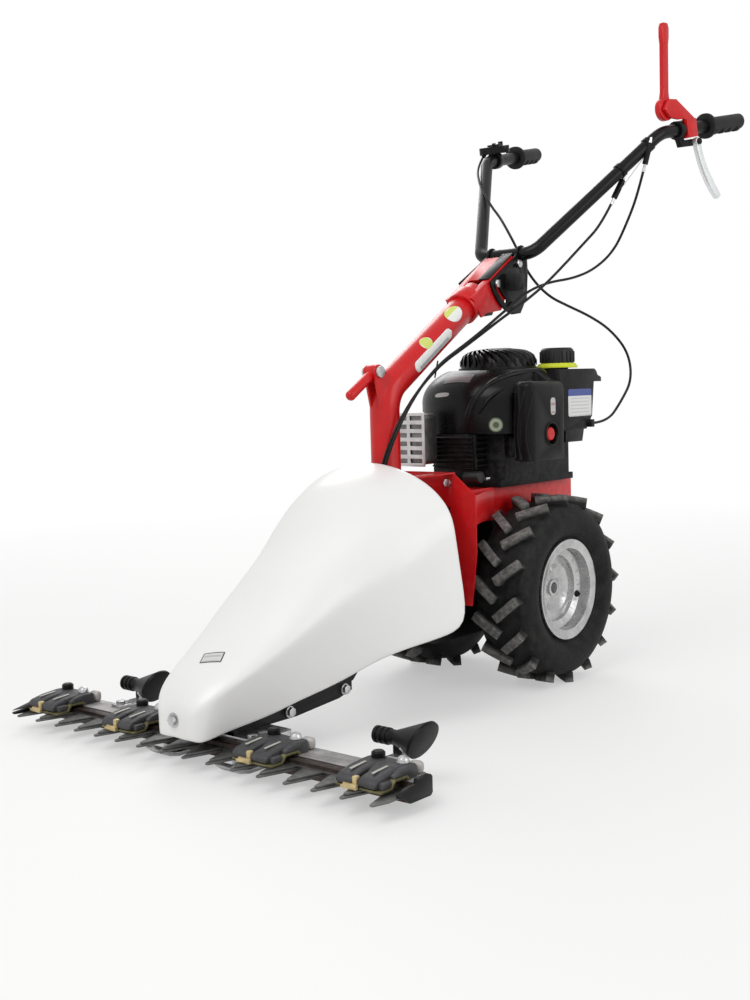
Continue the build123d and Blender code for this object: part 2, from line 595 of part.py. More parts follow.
for name, side in (("left", 1), ("right", -1)):
    inner_face = DRIVE_HALF if side > 0 else -DRIVE_HALF - ARM
    with BuildPart() as arm:
        with BuildSketch(side_plane(inner_face)):
            with BuildLine():
                Polyline(
                    (AXLE_Y - 748, 47), (AXLE_Y - 748, 58), (AXLE_Y - 700, 66), (AXLE_Y - 620, 78),
                    (AXLE_Y - 540, 92), (AXLE_Y - 452, 98), (AXLE_Y - 440, 86), (AXLE_Y - 440, 58),
                    (AXLE_Y - 470, 50), (AXLE_Y - 566, 42), (AXLE_Y - 618, 42),
                    (AXLE_Y - 624, MOUNT_Z + MOUNT_THICK), (AXLE_Y - 694, MOUNT_Z + MOUNT_THICK),
                    (AXLE_Y - 700, YOKE_TOP + 3), close=True,
                )
            make_face()
            with Locations(*ARM_BOLTS):
                Circle(BOLT_R + GAP, mode=Mode.SUBTRACT)
        extrude(amount=ARM)
        if side > 0:
            # nose cross-piece that the cover's front bolt enters
            with Locations(at(0, AXLE_Y - 745, 54)):
                Box(2 * DRIVE_HALF, 6, 12)
            with Locations(at(0, AXLE_Y - 745, 66)):
                Box(24, 6, 28)
            with Locations(Location((0, AXLE_Y - 745, NOSE_BOLT_Z), (90, 0, 0))):
                Cylinder(BOLT_R + GAP, 20, mode=Mode.SUBTRACT)
    arm.part.label = f"arm_{name}"
    export_step(arm.part, f"parts/arm_{name}.step")

# ================================================================ cutter bar
with BuildPart() as beam:
    with BuildSketch(side_plane(-BEAM_HALF)):
        with BuildLine():
            Polyline(
                (BEAM_FRONT, BEAM_BASE), (BEAM_FRONT, BLADE_BASE), (BLADE_REAR + GAP, BLADE_BASE),
                (BLADE_REAR + GAP, MOUNT_Z), (BEAM_REAR, MOUNT_Z), (BEAM_REAR, BEAM_BASE), close=True,
            )
        make_face()
    extrude(amount=2 * BEAM_HALF)
    chamfer(beam.edges().filter_by(Axis.Z).group_by(Axis.Y)[-1], BEAM_REAR - AXLE_Y + 677)
    with Locations(*[at(x, y, BEAM_BASE) for x, y in PLATE_BOLTS + STUDS]):
        Cylinder(BOLT_R + GAP, 4 * BEAM_THICK, mode=Mode.SUBTRACT)
beam.part.label = "bar_beam"
export_step(beam.part, "parts/bar_beam.step")

TOOTH_ROOT_Y = AXLE_Y - 722.0
TOOTH_HALF = 20.0
TIP_HALF = 2.5


def tooth_centres(number):
    return [(count - (number - 1) / 2) * TOOTH_PITCH for count in range(number)]


with BuildPart() as lower_blade:
    with BuildSketch(Plane.XY.offset(BLADE_BASE)):
        with Locations((0, (TOOTH_ROOT_Y + BLADE_REAR) / 2)):
            Rectangle(2 * BEAM_HALF, BLADE_REAR - TOOTH_ROOT_Y)
        for tooth_x in tooth_centres(TEETH):
            with BuildLine():
                Polyline((tooth_x - TOOTH_HALF, TOOTH_ROOT_Y), (tooth_x - TIP_HALF, TOOTH_TIP_Y),
                         (tooth_x + TIP_HALF, TOOTH_TIP_Y), (tooth_x + TOOTH_HALF, TOOTH_ROOT_Y), close=True)
            make_face()
        with Locations((0, (TOOTH_TIP_Y + BLADE_REAR) / 2)):
            Rectangle(2 * BEAM_HALF, BLADE_REAR - TOOTH_TIP_Y, mode=Mode.INTERSECT)
    extrude(amount=BLADE_SHEET)
lower_blade.part.label = "lower_blade"
export_step(lower_blade.part, "parts/lower_blade.step")

KNIFE_HALF = BAR_HALF - 34.0
SPINE_FRONT = AXLE_Y - 716.0
SPINE_REAR = AXLE_Y - 702.0
YOKE_REAR = KNIFE_CRANK_Y + STROKE + 14.0
YOKE_WIDTH = 2 * (DRIVE_HALF - STROKE) - 1.0
with BuildPart() as upper_blade:
    with BuildSketch(Plane.XY.offset(KNIFE_BASE)):
        with Locations((0, (TOOTH_ROOT_Y + SPINE_REAR) / 2)):
            Rectangle(2 * KNIFE_HALF, SPINE_REAR - TOOTH_ROOT_Y)
        # the end fingers have no knife section, so the stroke stays inside the shoes
        for tooth_x in tooth_centres(TEETH - 2):
            with BuildLine():
                Polyline((tooth_x - TOOTH_HALF + 2, TOOTH_ROOT_Y), (tooth_x - TIP_HALF, TOOTH_TIP_Y + 8),
                         (tooth_x + TIP_HALF, TOOTH_TIP_Y + 8), (tooth_x + TOOTH_HALF - 2, TOOTH_ROOT_Y),
                         close=True)
            make_face()
    extrude(amount=BLADE_SHEET)
    with Locations(at(0, (SPINE_FRONT + SPINE_REAR) / 2, (KNIFE_TOP + SPINE_TOP) / 2)):
        Box(2 * KNIFE_HALF, SPINE_REAR - SPINE_FRONT, SPINE_TOP - KNIFE_TOP)
    # slotted yoke that the crank's pin drives from above, on a riser from the spine
    with Locations(at(0, (SPINE_FRONT + SPINE_REAR) / 2, (SPINE_TOP + YOKE_TOP) / 2)):
        Box(YOKE_WIDTH, SPINE_REAR - SPINE_FRONT, YOKE_TOP - SPINE_TOP)
    with Locations(at(0, (SPINE_FRONT + YOKE_REAR) / 2, (YOKE_BASE + YOKE_TOP) / 2)):
        Box(YOKE_WIDTH, YOKE_REAR - SPINE_FRONT, YOKE_TOP - YOKE_BASE)
    with Locations(at(0, KNIFE_CRANK_Y, (YOKE_BASE + YOKE_TOP) / 2)):
        Box(2 * (PIN_R + GAP), 2 * (STROKE + PIN_R + 1), 3 * (YOKE_TOP - YOKE_BASE), mode=Mode.SUBTRACT)
upper_blade.part.label = "upper_blade"
export_step(upper_blade.part, "parts/upper_blade.step")

HOLDER_FRONT = AXLE_Y - 752.0
HOLDER_REAR = AXLE_Y - 677.0
HOLDER_FOOT = BLADE_REAR + GAP
HOLDER_TOP = 54.0
WEAR = 3.0
WEAR_TOP = KNIFE_TOP + 1.0 + WEAR
ARCH_TOP = SPINE_TOP + 4.4 + WEAR
ARCH_FRONT = SPINE_FRONT - 8.0
ARCH_RAMP = 7.0
# underside of a holder: flat over the fingers, then an arch over the knife's spine
WEAR_LINE = (
    (HOLDER_FRONT, WEAR_TOP), (ARCH_FRONT - ARCH_RAMP, WEAR_TOP), (ARCH_FRONT, ARCH_TOP), (HOLDER_FOOT, ARCH_TOP),
)
for number, holder_x in enumerate(HOLDER_AT, start=1):
    with BuildPart() as holder:
        with BuildSketch(side_plane(holder_x - HOLDER_HALF)):
            with BuildLine():
                Polyline(
                    *WEAR_LINE, (HOLDER_FOOT, MOUNT_Z), (HOLDER_REAR, MOUNT_Z), (HOLDER_REAR, HOLDER_TOP - 1),
                    (HOLDER_REAR - 1, HOLDER_TOP), (STUD_Y - 11, HOLDER_TOP), (AXLE_Y - 726, HOLDER_TOP - 3),
                    (HOLDER_FRONT - 2, HOLDER_TOP - 9), close=True,
                )
            make_face()
        extrude(amount=2 * HOLDER_HALF)
        # slots between the finger ribs
        with Locations(at(holder_x, (HOLDER_FRONT + HOLDER_FOOT) / 2, HOLDER_TOP)):
            with GridLocations(2 * HOLDER_HALF / 3, 1, 2, 1):
                Box(9, HOLDER_FOOT - HOLDER_FRONT - 10, 10, mode=Mode.SUBTRACT)
        with Locations(at(holder_x, STUD_Y, MOUNT_Z)):
            with GridLocations(2 * STUD_STEP, 1, 2, 1):
                Cylinder(BOLT_R + GAP, 100, mode=Mode.SUBTRACT)
    holder.part.label = f"blade_holder_{number}"
    export_step(holder.part, f"parts/blade_holder_{number}.step")

# wear plates bent to the holders' undersides, each with a front tongue
WEAR_PROUD = 1.5
WEAR_BEND = 1.5
with BuildPart() as pads:
    for holder_x in HOLDER_AT:
        with BuildSketch(side_plane(holder_x - HOLDER_HALF - WEAR_PROUD)):
            with BuildLine():
                Polyline(
                    *WEAR_LINE, (HOLDER_FOOT, ARCH_TOP - WEAR), (ARCH_FRONT + WEAR_BEND, ARCH_TOP - WEAR),
                    (ARCH_FRONT - ARCH_RAMP + WEAR_BEND, WEAR_TOP - WEAR), (HOLDER_FRONT, WEAR_TOP - WEAR),
                    close=True,
                )
            make_face()
        extrude(amount=2 * (HOLDER_HALF + WEAR_PROUD))
        with Locations(at(holder_x - 8, HOLDER_FRONT - 4, WEAR_TOP - WEAR / 2)):
            Box(24, 8, WEAR)
        with Locations(at(holder_x - 8, HOLDER_FRONT - 6, WEAR_TOP)):
            Box(24, 4, 5, align=(Align.CENTER, Align.CENTER, Align.MIN))
pads.part.label = "wear_pads"
export_step(pads.part, "parts/wear_pads.step")

SHOE_TOP = MOUNT_Z + 8.0
SHOE_REAR = AXLE_Y - 677.0
SHOE_FRONT = AXLE_Y - 742.0
for name, side in (("left", 1), ("right", -1)):
    # the right shoe runs on into a long outer spike
    tip = SHOE_FRONT if side > 0 else TOOTH_TIP_Y
    with BuildPart() as shoe:
        with BuildSketch(side_plane(BEAM_HALF if side > 0 else -BAR_HALF)):
            with BuildLine():
                Polyline(
                    (tip, BLADE_TOP), (tip, BLADE_TOP + 3), (SHOE_FRONT + 6, SHOE_TOP - 10),
                    (AXLE_Y - 722, SHOE_TOP - 6), (AXLE_Y - 708, SHOE_TOP - 6), (AXLE_Y - 706, SHOE_TOP),
                    (SHOE_REAR - 3, SHOE_TOP), (SHOE_REAR, SHOE_TOP - 3), (SHOE_REAR, BEAM_BASE + 4),
                    (SHOE_REAR - 4, BEAM_BASE), (BEAM_FRONT, BEAM_BASE), (BEAM_FRONT - 6, BLADE_BASE), close=True,
                )
            make_face()
        extrude(amount=SHOE_THICK)
    shoe.part.label = f"end_shoe_{name}"
    export_step(shoe.part, f"parts/end_shoe_{name}.step")

    # runner that carries the bar on the ground
    with BuildPart() as skid:
        with BuildSketch(side_plane(side * SKID_X - SKID_HALF)):
            with BuildLine():
                Polyline(
                    (AXLE_Y - 746, 14), (AXLE_Y - 734, 4), (AXLE_Y - 716, 0), (AXLE_Y - 650, 0),
                    (AXLE_Y - 632, 4), (AXLE_Y - 618, 16), (AXLE_Y - 625, 18), (AXLE_Y - 636, 9),
                    (AXLE_Y - 651, SKID_SOLE), (AXLE_Y - 715, SKID_SOLE), (AXLE_Y - 731, 9), (AXLE_Y - 741, 18),
                    close=True,
                )
            make_face()
        extrude(amount=2 * SKID_HALF)
        with Locations(at(side * SKID_X, (BEAM_FRONT + BEAM_REAR) / 2, (SKID_SOLE + BEAM_BASE) / 2)):
            Box(SKID_HALF, BEAM_REAR - BEAM_FRONT - 2, BEAM_BASE - SKID_SOLE)
        with Locations(*[at(x, y, BEAM_BASE) for x, y in PLATE_BOLTS]):
            Cylinder(BOLT_R + GAP, 24, mode=Mode.SUBTRACT)
    skid.part.label = f"skid_{name}"
    export_step(skid.part, f"parts/skid_{name}.step")

# ---------------------------------------------------------------- bell shaped knobs behind the bar
KNOB_Y = AXLE_Y - 620.0
KNOB_BASE = MOUNT_Z + 4.0
KNOB_BRACKET_HALF = 12.0
KNOB_AXIS_Z = 60.0
BARREL_R = 12.0
BELL_R = 29.0
BELL_TILT = 26.0
with BuildPart() as knob_brackets:
    for knob_x in KNOB_AT:
        front = HOLDER_REAR + GAP
        with Locations(at(knob_x, (front + KNOB_Y + KNOB_BRACKET_HALF) / 2, (MOUNT_Z + KNOB_BASE) / 2)):
            Box(2 * KNOB_BRACKET_HALF, KNOB_Y + KNOB_BRACKET_HALF - front, KNOB_BASE - MOUNT_Z)
        with Locations(at(knob_x, KNOB_STUD_Y, MOUNT_Z)):
            Cylinder(BOLT_R + GAP, 20, mode=Mode.SUBTRACT)
knob_brackets.part.label = "knob_brackets"
export_step(knob_brackets.part, "parts/knob_brackets.step")

for name, knob_x in (("right", KNOB_AT[0]), ("left", KNOB_AT[1])):
    lean = radians(BELL_TILT)
    bell = Plane(origin=(knob_x + 33, KNOB_Y, KNOB_AXIS_Z + 5), x_dir=(0, 1, 0), z_dir=(cos(lean), 0, -sin(lean)))
    with BuildPart() as knob:
        # ribbed barrel lying along the bar, flaring into a bell at its left end
        with Locations(Location((knob_x - 46, KNOB_Y, KNOB_AXIS_Z), (0, 90, 0))):
            Cylinder(BARREL_R - 1.5, 38, align=(Align.CENTER, Align.CENTER, Align.MIN))
            with Locations((0, 0, 0), (0, 0, 9), (0, 0, 18)):
                Cylinder(BARREL_R, 5, align=(Align.CENTER, Align.CENTER, Align.MIN))
        with BuildSketch(Plane(origin=(knob_x - 10, KNOB_Y, KNOB_AXIS_Z), x_dir=(0, 1, 0), z_dir=(1, 0, 0))):
            Circle(BARREL_R - 1)
        with BuildSketch(bell):
            Circle(BELL_R)
        loft()
        with BuildSketch(bell):
            Circle(BELL_R)
        extrude(amount=4)
        # foot on the bracket
        with Locations(at(knob_x - 4, KNOB_Y, KNOB_BASE)):
            Box(14, 16, KNOB_AXIS_Z - KNOB_BASE - 4, align=(Align.CENTER, Align.CENTER, Align.MIN))
    knob.part.label = f"bar_knob_{name}"
    export_step(knob.part, f"parts/bar_knob_{name}.step")

# ================================================================ engine
FILTER_X = 100.0
FILTER_OUT = 160.0
FILTER_REAR = AXLE_Y + 9.0
FILTER_FRONT = AXLE_Y - 94.0
FILTER_SEAM = AXLE_Y - 58.0
FILTER_ROUND = 14.0
FILTER_BASE = 400.0
FILTER_TOP = 537.0
TANK_X = 30.0
TANK_OUT = 130.0
TANK_FRONT = AXLE_Y + 45.0
TANK_REAR = AXLE_Y + 188.0
TANK_TOP = 558.0
TANK_LIP = 534.0
TANK_WALL = 4.0
PIPE_X = -62.0
PIPE_Z = 425.0
PIPE_R = 12.0
MUFFLER_FACE = AXLE_Y - 114.0
with BuildPart() as block:
    with Locations(at(0, (BLOCK_FRONT + BLOCK_REAR) / 2, DECK_Z)):
        Box(2 * BLOCK_HALF, BLOCK_REAR - BLOCK_FRONT, BLOCK_TOP - DECK_Z, align=(Align.CENTER, Align.CENTER, Align.MIN))
        Box(2 * BLOCK_HALF, BLOCK_REAR - BLOCK_FRONT + 2 * FOOT_REACH, FOOT_THICK,
            align=(Align.CENTER, Align.CENTER, Align.MIN))
    # finned cylinder ahead of the crankcase
    with Locations(at(0, BLOCK_FRONT - 22, (388 + BLOCK_TOP) / 2)):
        Box(72, 52, BLOCK_TOP - 388)
    with Locations(*[at(0, BLOCK_FRONT - 24, 391 + 10 * fin) for fin in range(6)]):
        Box(86, 52, 3)
    # carburettor between the crankcase and the air filter
    with Locations(at((BLOCK_HALF + FILTER_X) / 2, AXLE_Y - 34, 422)):
        Box(FILTER_X - BLOCK_HALF, 26, 36)
    with Locations(at(0, CRANK_Y, DECK_Z)):
        Cylinder(CRANK_R + RUN, 300, mode=Mode.SUBTRACT)
    for bolt_x, bolt_y in MOUNT_BOLTS:
        with Locations(at(bolt_x, bolt_y, DECK_Z)):
            Cylinder(BOLT_R + GAP, 4 * FOOT_THICK, mode=Mode.SUBTRACT)
block.part.label = "engine_block"
export_step(block.part, "parts/engine_block.step")

CAP_X = 95.0
CAP_Y = AXLE_Y + 92.0
NECK_R = 20.0
NECK_TOP = 580.0
ROOF = 12.0
with BuildPart() as blower:
    with BuildSketch(Plane(origin=(0, CRANK_Y, BLOCK_TOP), x_dir=(1, 0, 0), z_dir=(0, -1, 0))):
        high = SHROUD_TOP - BLOCK_TOP
        with BuildLine():
            Line((0, high), (0, 0))
            Line((0, 0), (SHROUD_R, 0))
            Line((SHROUD_R, 0), (SHROUD_R, high - 62))
            Spline((SHROUD_R, high - 62), (SHROUD_R - 7, high - 33), (SHROUD_R - 27, high - 12),
                   (SHROUD_R - 50, high))
            Line((SHROUD_R - 50, high), (0, high))
        make_face()
    revolve(axis=Axis((0, CRANK_Y, 0), (0, 0, 1)))
    with Locations(at(0, CRANK_Y, BLOCK_TOP)):
        Box(2 * SHROUD_R - 10, 2 * SHROUD_R + 4, 400, mode=Mode.INTERSECT)
    # corners left free for the air filter and the fuel tank
    with Locations(at(FILTER_X - GAP, FILTER_REAR + GAP, BLOCK_TOP - 1)):
        Box(80, 160, 200, align=(Align.MIN, Align.MAX, Align.MIN), mode=Mode.SUBTRACT)
    with Locations(at(TANK_X - GAP, TANK_FRONT - GAP, BLOCK_TOP - 1)):
        Box(160, 180, 200, align=(Align.MIN, Align.MIN, Align.MIN), mode=Mode.SUBTRACT)
    with BuildSketch(Plane(origin=(0, CRANK_Y, BLOCK_TOP), x_dir=(1, 0, 0), z_dir=(0, -1, 0))):
        with BuildLine():
            Polyline((0, 0), (FAN_HOUSING_R, 0), (FAN_HOUSING_R, high - 9), (SHROUD_R - 50, high), (0, high),
                     close=True)
        make_face()
    revolve(axis=Axis((0, CRANK_Y, 0), (0, 0, 1)))
    with Locations(at(0, CRANK_Y, BLOCK_TOP)):
        Cylinder(FAN_R + 8, SHROUD_TOP - ROOF - BLOCK_TOP, align=(Align.CENTER, Align.CENTER, Align.MIN),
                 mode=Mode.SUBTRACT)
        # cooling air comes in under the recoil starter's dome
        Cylinder(DOME_R - 14, SHROUD_TOP, align=(Align.CENTER, Align.CENTER, Align.MIN), mode=Mode.SUBTRACT)
    with Locations(at(CAP_X, CAP_Y, TANK_TOP - GAP)):
        Cylinder(NECK_R + 0.5, 40, align=(Align.CENTER, Align.CENTER, Align.MIN), mode=Mode.SUBTRACT)
blower.part.label = "blower_housing"
export_step(blower.part, "parts/blower_housing.step")

FLYWHEEL_Z = 470.0
with BuildPart() as crankshaft:
    with Locations(at(0, CRANK_Y, CRANK_FOOT + 1)):
        Cylinder(CRANK_R, FLYWHEEL_Z + 36 - CRANK_FOOT, align=(Align.CENTER, Align.CENTER, Align.MIN))
    with Locations(at(0, CRANK_Y, FLYWHEEL_Z)):
        Cylinder(FAN_R, 16, align=(Align.CENTER, Align.CENTER, Align.MIN))
    with Locations(at(0, CRANK_Y, FLYWHEEL_Z + 16)):
        with PolarLocations(FAN_R - 16, 12):
            Box(24, 3, 22, align=(Align.CENTER, Align.CENTER, Align.MIN))
crankshaft.part.label = "crankshaft"
export_step(crankshaft.part, "parts/crankshaft.step")

with BuildPart() as dome:
    with BuildSketch(Plane(origin=(0, CRANK_Y, SHROUD_TOP), x_dir=(1, 0, 0), z_dir=(0, -1, 0))):
        rise = DOME_TOP - SHROUD_TOP
        with BuildLine():
            Polyline((0, rise), (DOME_R * 0.3, rise), (DOME_R * 0.7, rise - 4), (DOME_R * 0.93, rise - 15),
                     (DOME_R, rise - 33), (DOME_R, 0), (DOME_R - 4, 0), (DOME_R - 4, rise - 33),
                     (DOME_R * 0.93 - 4, rise - 17), (DOME_R * 0.7 - 2, rise - 8), (DOME_R * 0.3, rise - 4),
                     (0, rise - 4), close=True)
        make_face()
    revolve(axis=Axis((0, CRANK_Y, 0), (0, 0, 1)))
dome.part.label = "recoil_dome"
export_step(dome.part, "parts/recoil_dome.step")

PRIMER_Y = AXLE_Y - 29.0
PRIMER_Z = 445.0
PRIMER_R = 12.0
PRIMER_STEM_R = 7.0
PRIMER_TRAVEL = 5.0
PRIMER_SEAT = FILTER_OUT - 12.0
with BuildPart() as filter_cover:
    with BuildSketch(Plane.XY.offset(FILTER_BASE)):
        with BuildLine():
            Polyline((FILTER_X, FILTER_SEAM), (FILTER_X + 34, FILTER_FRONT), (FILTER_OUT, FILTER_FRONT),
                     (FILTER_OUT, FILTER_REAR), (FILTER_X, FILTER_REAR), close=True)
        make_face()
    extrude(amount=FILTER_TOP - FILTER_BASE)
    front_edges = filter_cover.edges().filter_by(Axis.Z).group_by(Axis.Y)[0]
    fillet(front_edges, FILTER_ROUND)
    fillet(filter_cover.faces().sort_by(Axis.Z)[-1].edges(), FILTER_ROUND - 4)
    with Locations(at(0, CRANK_Y, FILTER_BASE)):
        Cylinder(FAN_HOUSING_R + GAP, 400, mode=Mode.SUBTRACT)
    with Locations(Location((PRIMER_SEAT, PRIMER_Y, PRIMER_Z), (0, 90, 0))):
        Cylinder(PRIMER_R + 6, 40, align=(Align.CENTER, Align.CENTER, Align.MIN), mode=Mode.SUBTRACT)
        Cylinder(PRIMER_STEM_R + RUN, 12, align=(Align.CENTER, Align.CENTER, Align.MAX), mode=Mode.SUBTRACT)
filter_cover.part.label = "filter_cover"
export_step(filter_cover.part, "parts/filter_cover.step")

with BuildPart() as primer:
    with Locations(Location((PRIMER_SEAT + PRIMER_TRAVEL + GAP, PRIMER_Y, PRIMER_Z), (0, 90, 0))):
        Cylinder(PRIMER_STEM_R, 10, align=(Align.CENTER, Align.CENTER, Align.MAX))
        Cylinder(PRIMER_R, 6, align=(Align.CENTER, Align.CENTER, Align.MIN))
    fillet(primer.faces().sort_by(Axis.X)[-1].edges(), 4)
primer.part.label = "primer_bulb"
export_step(primer.part, "parts/primer_bulb.step")

with BuildPart() as tank:
    with BuildSketch(side_plane(TANK_X)):
        with BuildLine():
            Polyline(
                (TANK_FRONT, BLOCK_TOP), (TANK_REAR - 54, BLOCK_TOP), (TANK_REAR - 34, BLOCK_TOP + 24),
                (TANK_REAR - 26, TANK_LIP), (TANK_REAR, TANK_LIP), (TANK_REAR, TANK_LIP + 8),
                (TANK_REAR - 12, TANK_LIP + 12), (TANK_REAR - 17, TANK_TOP - 4), (TANK_REAR - 24, TANK_TOP),
                (TANK_FRONT, TANK_TOP), close=True,
            )
        make_face()
    extrude(amount=TANK_OUT - TANK_X)
    with BuildSketch(side_plane(BLOCK_HALF + 6)):
        with BuildLine():
            Polyline((TANK_FRONT + 20, BLOCK_TOP), (TANK_FRONT + 20, BLOCK_TOP - 22),
                     (TANK_REAR - 66, BLOCK_TOP - 22), (TANK_REAR - 60, BLOCK_TOP), close=True)
        make_face()
    extrude(amount=TANK_OUT - BLOCK_HALF - 8)
    with Locations(at(0, CRANK_Y, BLOCK_TOP)):
        Cylinder(FAN_HOUSING_R + GAP, 400, mode=Mode.SUBTRACT)
    # small tab that holds the end of the throttle cable
    with Locations(at(TANK_OUT - 2, AXLE_Y + THROTTLE_END[1] - 10, THROTTLE_END[2])):
        Box(10, 10, 14, align=(Align.MIN, Align.MIN, Align.CENTER))
    with BuildSketch(Plane.XY.offset(BLOCK_TOP + TANK_WALL)):
        with Locations((TANK_X + TANK_WALL, TANK_FRONT + TANK_WALL)):
            Rectangle(TANK_OUT - TANK_X - 2 * TANK_WALL, TANK_REAR - 54 - TANK_FRONT - 2 * TANK_WALL,
                      align=(Align.MIN, Align.MIN))
        with Locations((0, CRANK_Y)):
            Circle(FAN_HOUSING_R + GAP + TANK_WALL, mode=Mode.SUBTRACT)
    extrude(amount=TANK_TOP - BLOCK_TOP - 2 * TANK_WALL, mode=Mode.SUBTRACT)
    with Locations(at(CAP_X, CAP_Y, TANK_TOP)):
        Cylinder(NECK_R, NECK_TOP - TANK_TOP, align=(Align.CENTER, Align.CENTER, Align.MIN))
    with Locations(at(CAP_X, CAP_Y, TANK_TOP - TANK_WALL - 1)):
        Cylinder(NECK_R - 7, 60, align=(Align.CENTER, Align.CENTER, Align.MIN), mode=Mode.SUBTRACT)
tank.part.label = "fuel_tank"
export_step(tank.part, "parts/fuel_tank.step")

CAP_BASE = SHROUD_TOP + 0.5
with BuildPart() as cap:
    with Locations(at(CAP_X, CAP_Y, CAP_BASE)):
        Cylinder(CAP_R - 2, 36.5, align=(Align.CENTER, Align.CENTER, Align.MIN))
    chamfer(cap.faces().sort_by(Axis.Z)[-1].edges(), 4)
    # ratchet teeth round the foot and grip ribs above them
    with Locations(at(CAP_X, CAP_Y, CAP_BASE)):
        with PolarLocations(CAP_R - 3, 24):
            Box(8, 4.5, 6.5, align=(Align.CENTER, Align.CENTER, Align.MIN))
    with Locations(at(CAP_X, CAP_Y, CAP_BASE + 10)):
        with PolarLocations(CAP_R - 3, 20):
            Box(6, 4, 20, align=(Align.CENTER, Align.CENTER, Align.MIN))
    with Locations(at(CAP_X, CAP_Y, CAP_BASE)):
        Cylinder(NECK_R + RUN, NECK_TOP + GAP - CAP_BASE, align=(Align.CENTER, Align.CENTER, Align.MIN),
                 mode=Mode.SUBTRACT)
cap.part.label = "fuel_cap"
export_step(cap.part, "parts/fuel_cap.step")

MUFFLER_Z = 440.0
with BuildPart() as muffler:
    with Locations(at(PIPE_X, MUFFLER_FACE - 18, MUFFLER_Z)):
        Box(67, 36, 90)
    fillet(muffler.edges().filter_by(Axis.Y), 9)
    with Locations(Location((PIPE_X, MUFFLER_FACE, PIPE_Z), (90, 0, 0))):
        Cylinder(PIPE_R, BLOCK_FRONT - MUFFLER_FACE, align=(Align.CENTER, Align.CENTER, Align.MAX))
muffler.part.label = "muffler"
export_step(muffler.part, "parts/muffler.step")

with BuildPart() as guard:
    with Locations(at(PIPE_X, MUFFLER_FACE - 39, MUFFLER_Z)):
        Box(73, 2, 96)
    with Locations(at(PIPE_X, MUFFLER_FACE - 37, MUFFLER_Z)):
        with GridLocations(50, 1, 2, 1):
            Box(6, 2, 8)
    with Locations(at(PIPE_X, MUFFLER_FACE - 39, MUFFLER_Z)):
        for row in range(6):
            with Locations(at(-17, 0, -38 + row * 15.2), at(17, 0, -38 + row * 15.2)):
                Box(27, 8, 8, mode=Mode.SUBTRACT)
guard.part.label = "muffler_guard"
export_step(guard.part, "parts/muffler_guard.step")

# ================================================================ handlebar
GRIP_FLANGE_AT = 140.0
TUBE_BORE_R = BAR_TUBE_R - 2.0


def grip_frame(side):
    # origin at the arm's top; first axis across the grip, second up, third back along it
    run = Vector(side * (GRIP_HALF - ARM_HALF), GRIP_END_Y - ARM_Y, GRIP_END_Z - ARM_Z)
    return Plane(origin=(side * ARM_HALF, ARM_Y, ARM_Z), x_dir=(-run.Y, run.X, 0), z_dir=run)


def grip_spot(side, across, up, back, turn=(0, 0, 0)):
    return grip_frame(side).location * Location((across, up, back), turn)


def grip_side(side, across, up=0.0, back=0.0):
    # sketch plane beside the grip: first axis back along it, second up, extrudes toward -across
    frame = grip_frame(side)
    centre = frame.from_local_coords((across, up, back))
    return Plane(origin=centre, x_dir=frame.z_dir, z_dir=-frame.x_dir)


GRIP_SPAN = (Vector(GRIP_HALF, GRIP_END_Y, GRIP_END_Z) - Vector(ARM_HALF, ARM_Y, ARM_Z)).length
TUBE_ENDS = [grip_frame(side).from_local_coords((0, 0, GRIP_SPAN - 3)) for side in (1, -1)]
TUBE_LINE = (
    TUBE_ENDS[0], (ARM_HALF, ARM_Y, ARM_Z), (CROSS_HALF, CROSS_Y, CROSS_Z),
    (-CROSS_HALF, CROSS_Y, CROSS_Z), (-ARM_HALF, ARM_Y, ARM_Z), TUBE_ENDS[1],
)
with BuildPart() as handlebar:
    with BuildLine():
        FilletPolyline(*TUBE_LINE, radius=[BAR_BEND_R, CROSS_BEND_R, CROSS_BEND_R, BAR_BEND_R])
    with BuildSketch(Plane(origin=TUBE_ENDS[0], z_dir=-grip_frame(1).z_dir)):
        Circle(BAR_TUBE_R)
        Circle(TUBE_BORE_R, mode=Mode.SUBTRACT)
    sweep()
handlebar.part.label = "handlebar"
export_step(handlebar.part, "parts/handlebar.step")

YOKE_IN = CHEEK_HALF + GAP
YOKE_OUT = YOKE_IN + CHEEK
YOKE_R = 95.0
TILT = 30.0
SLOT_ANGLE = 209.3
STOP_ANGLE = radians(SLOT_ANGLE + TILT + 12)


def pivot_polar(reach, angle):
    return off_pivot(reach * cos(radians(angle)), reach * sin(radians(angle)))


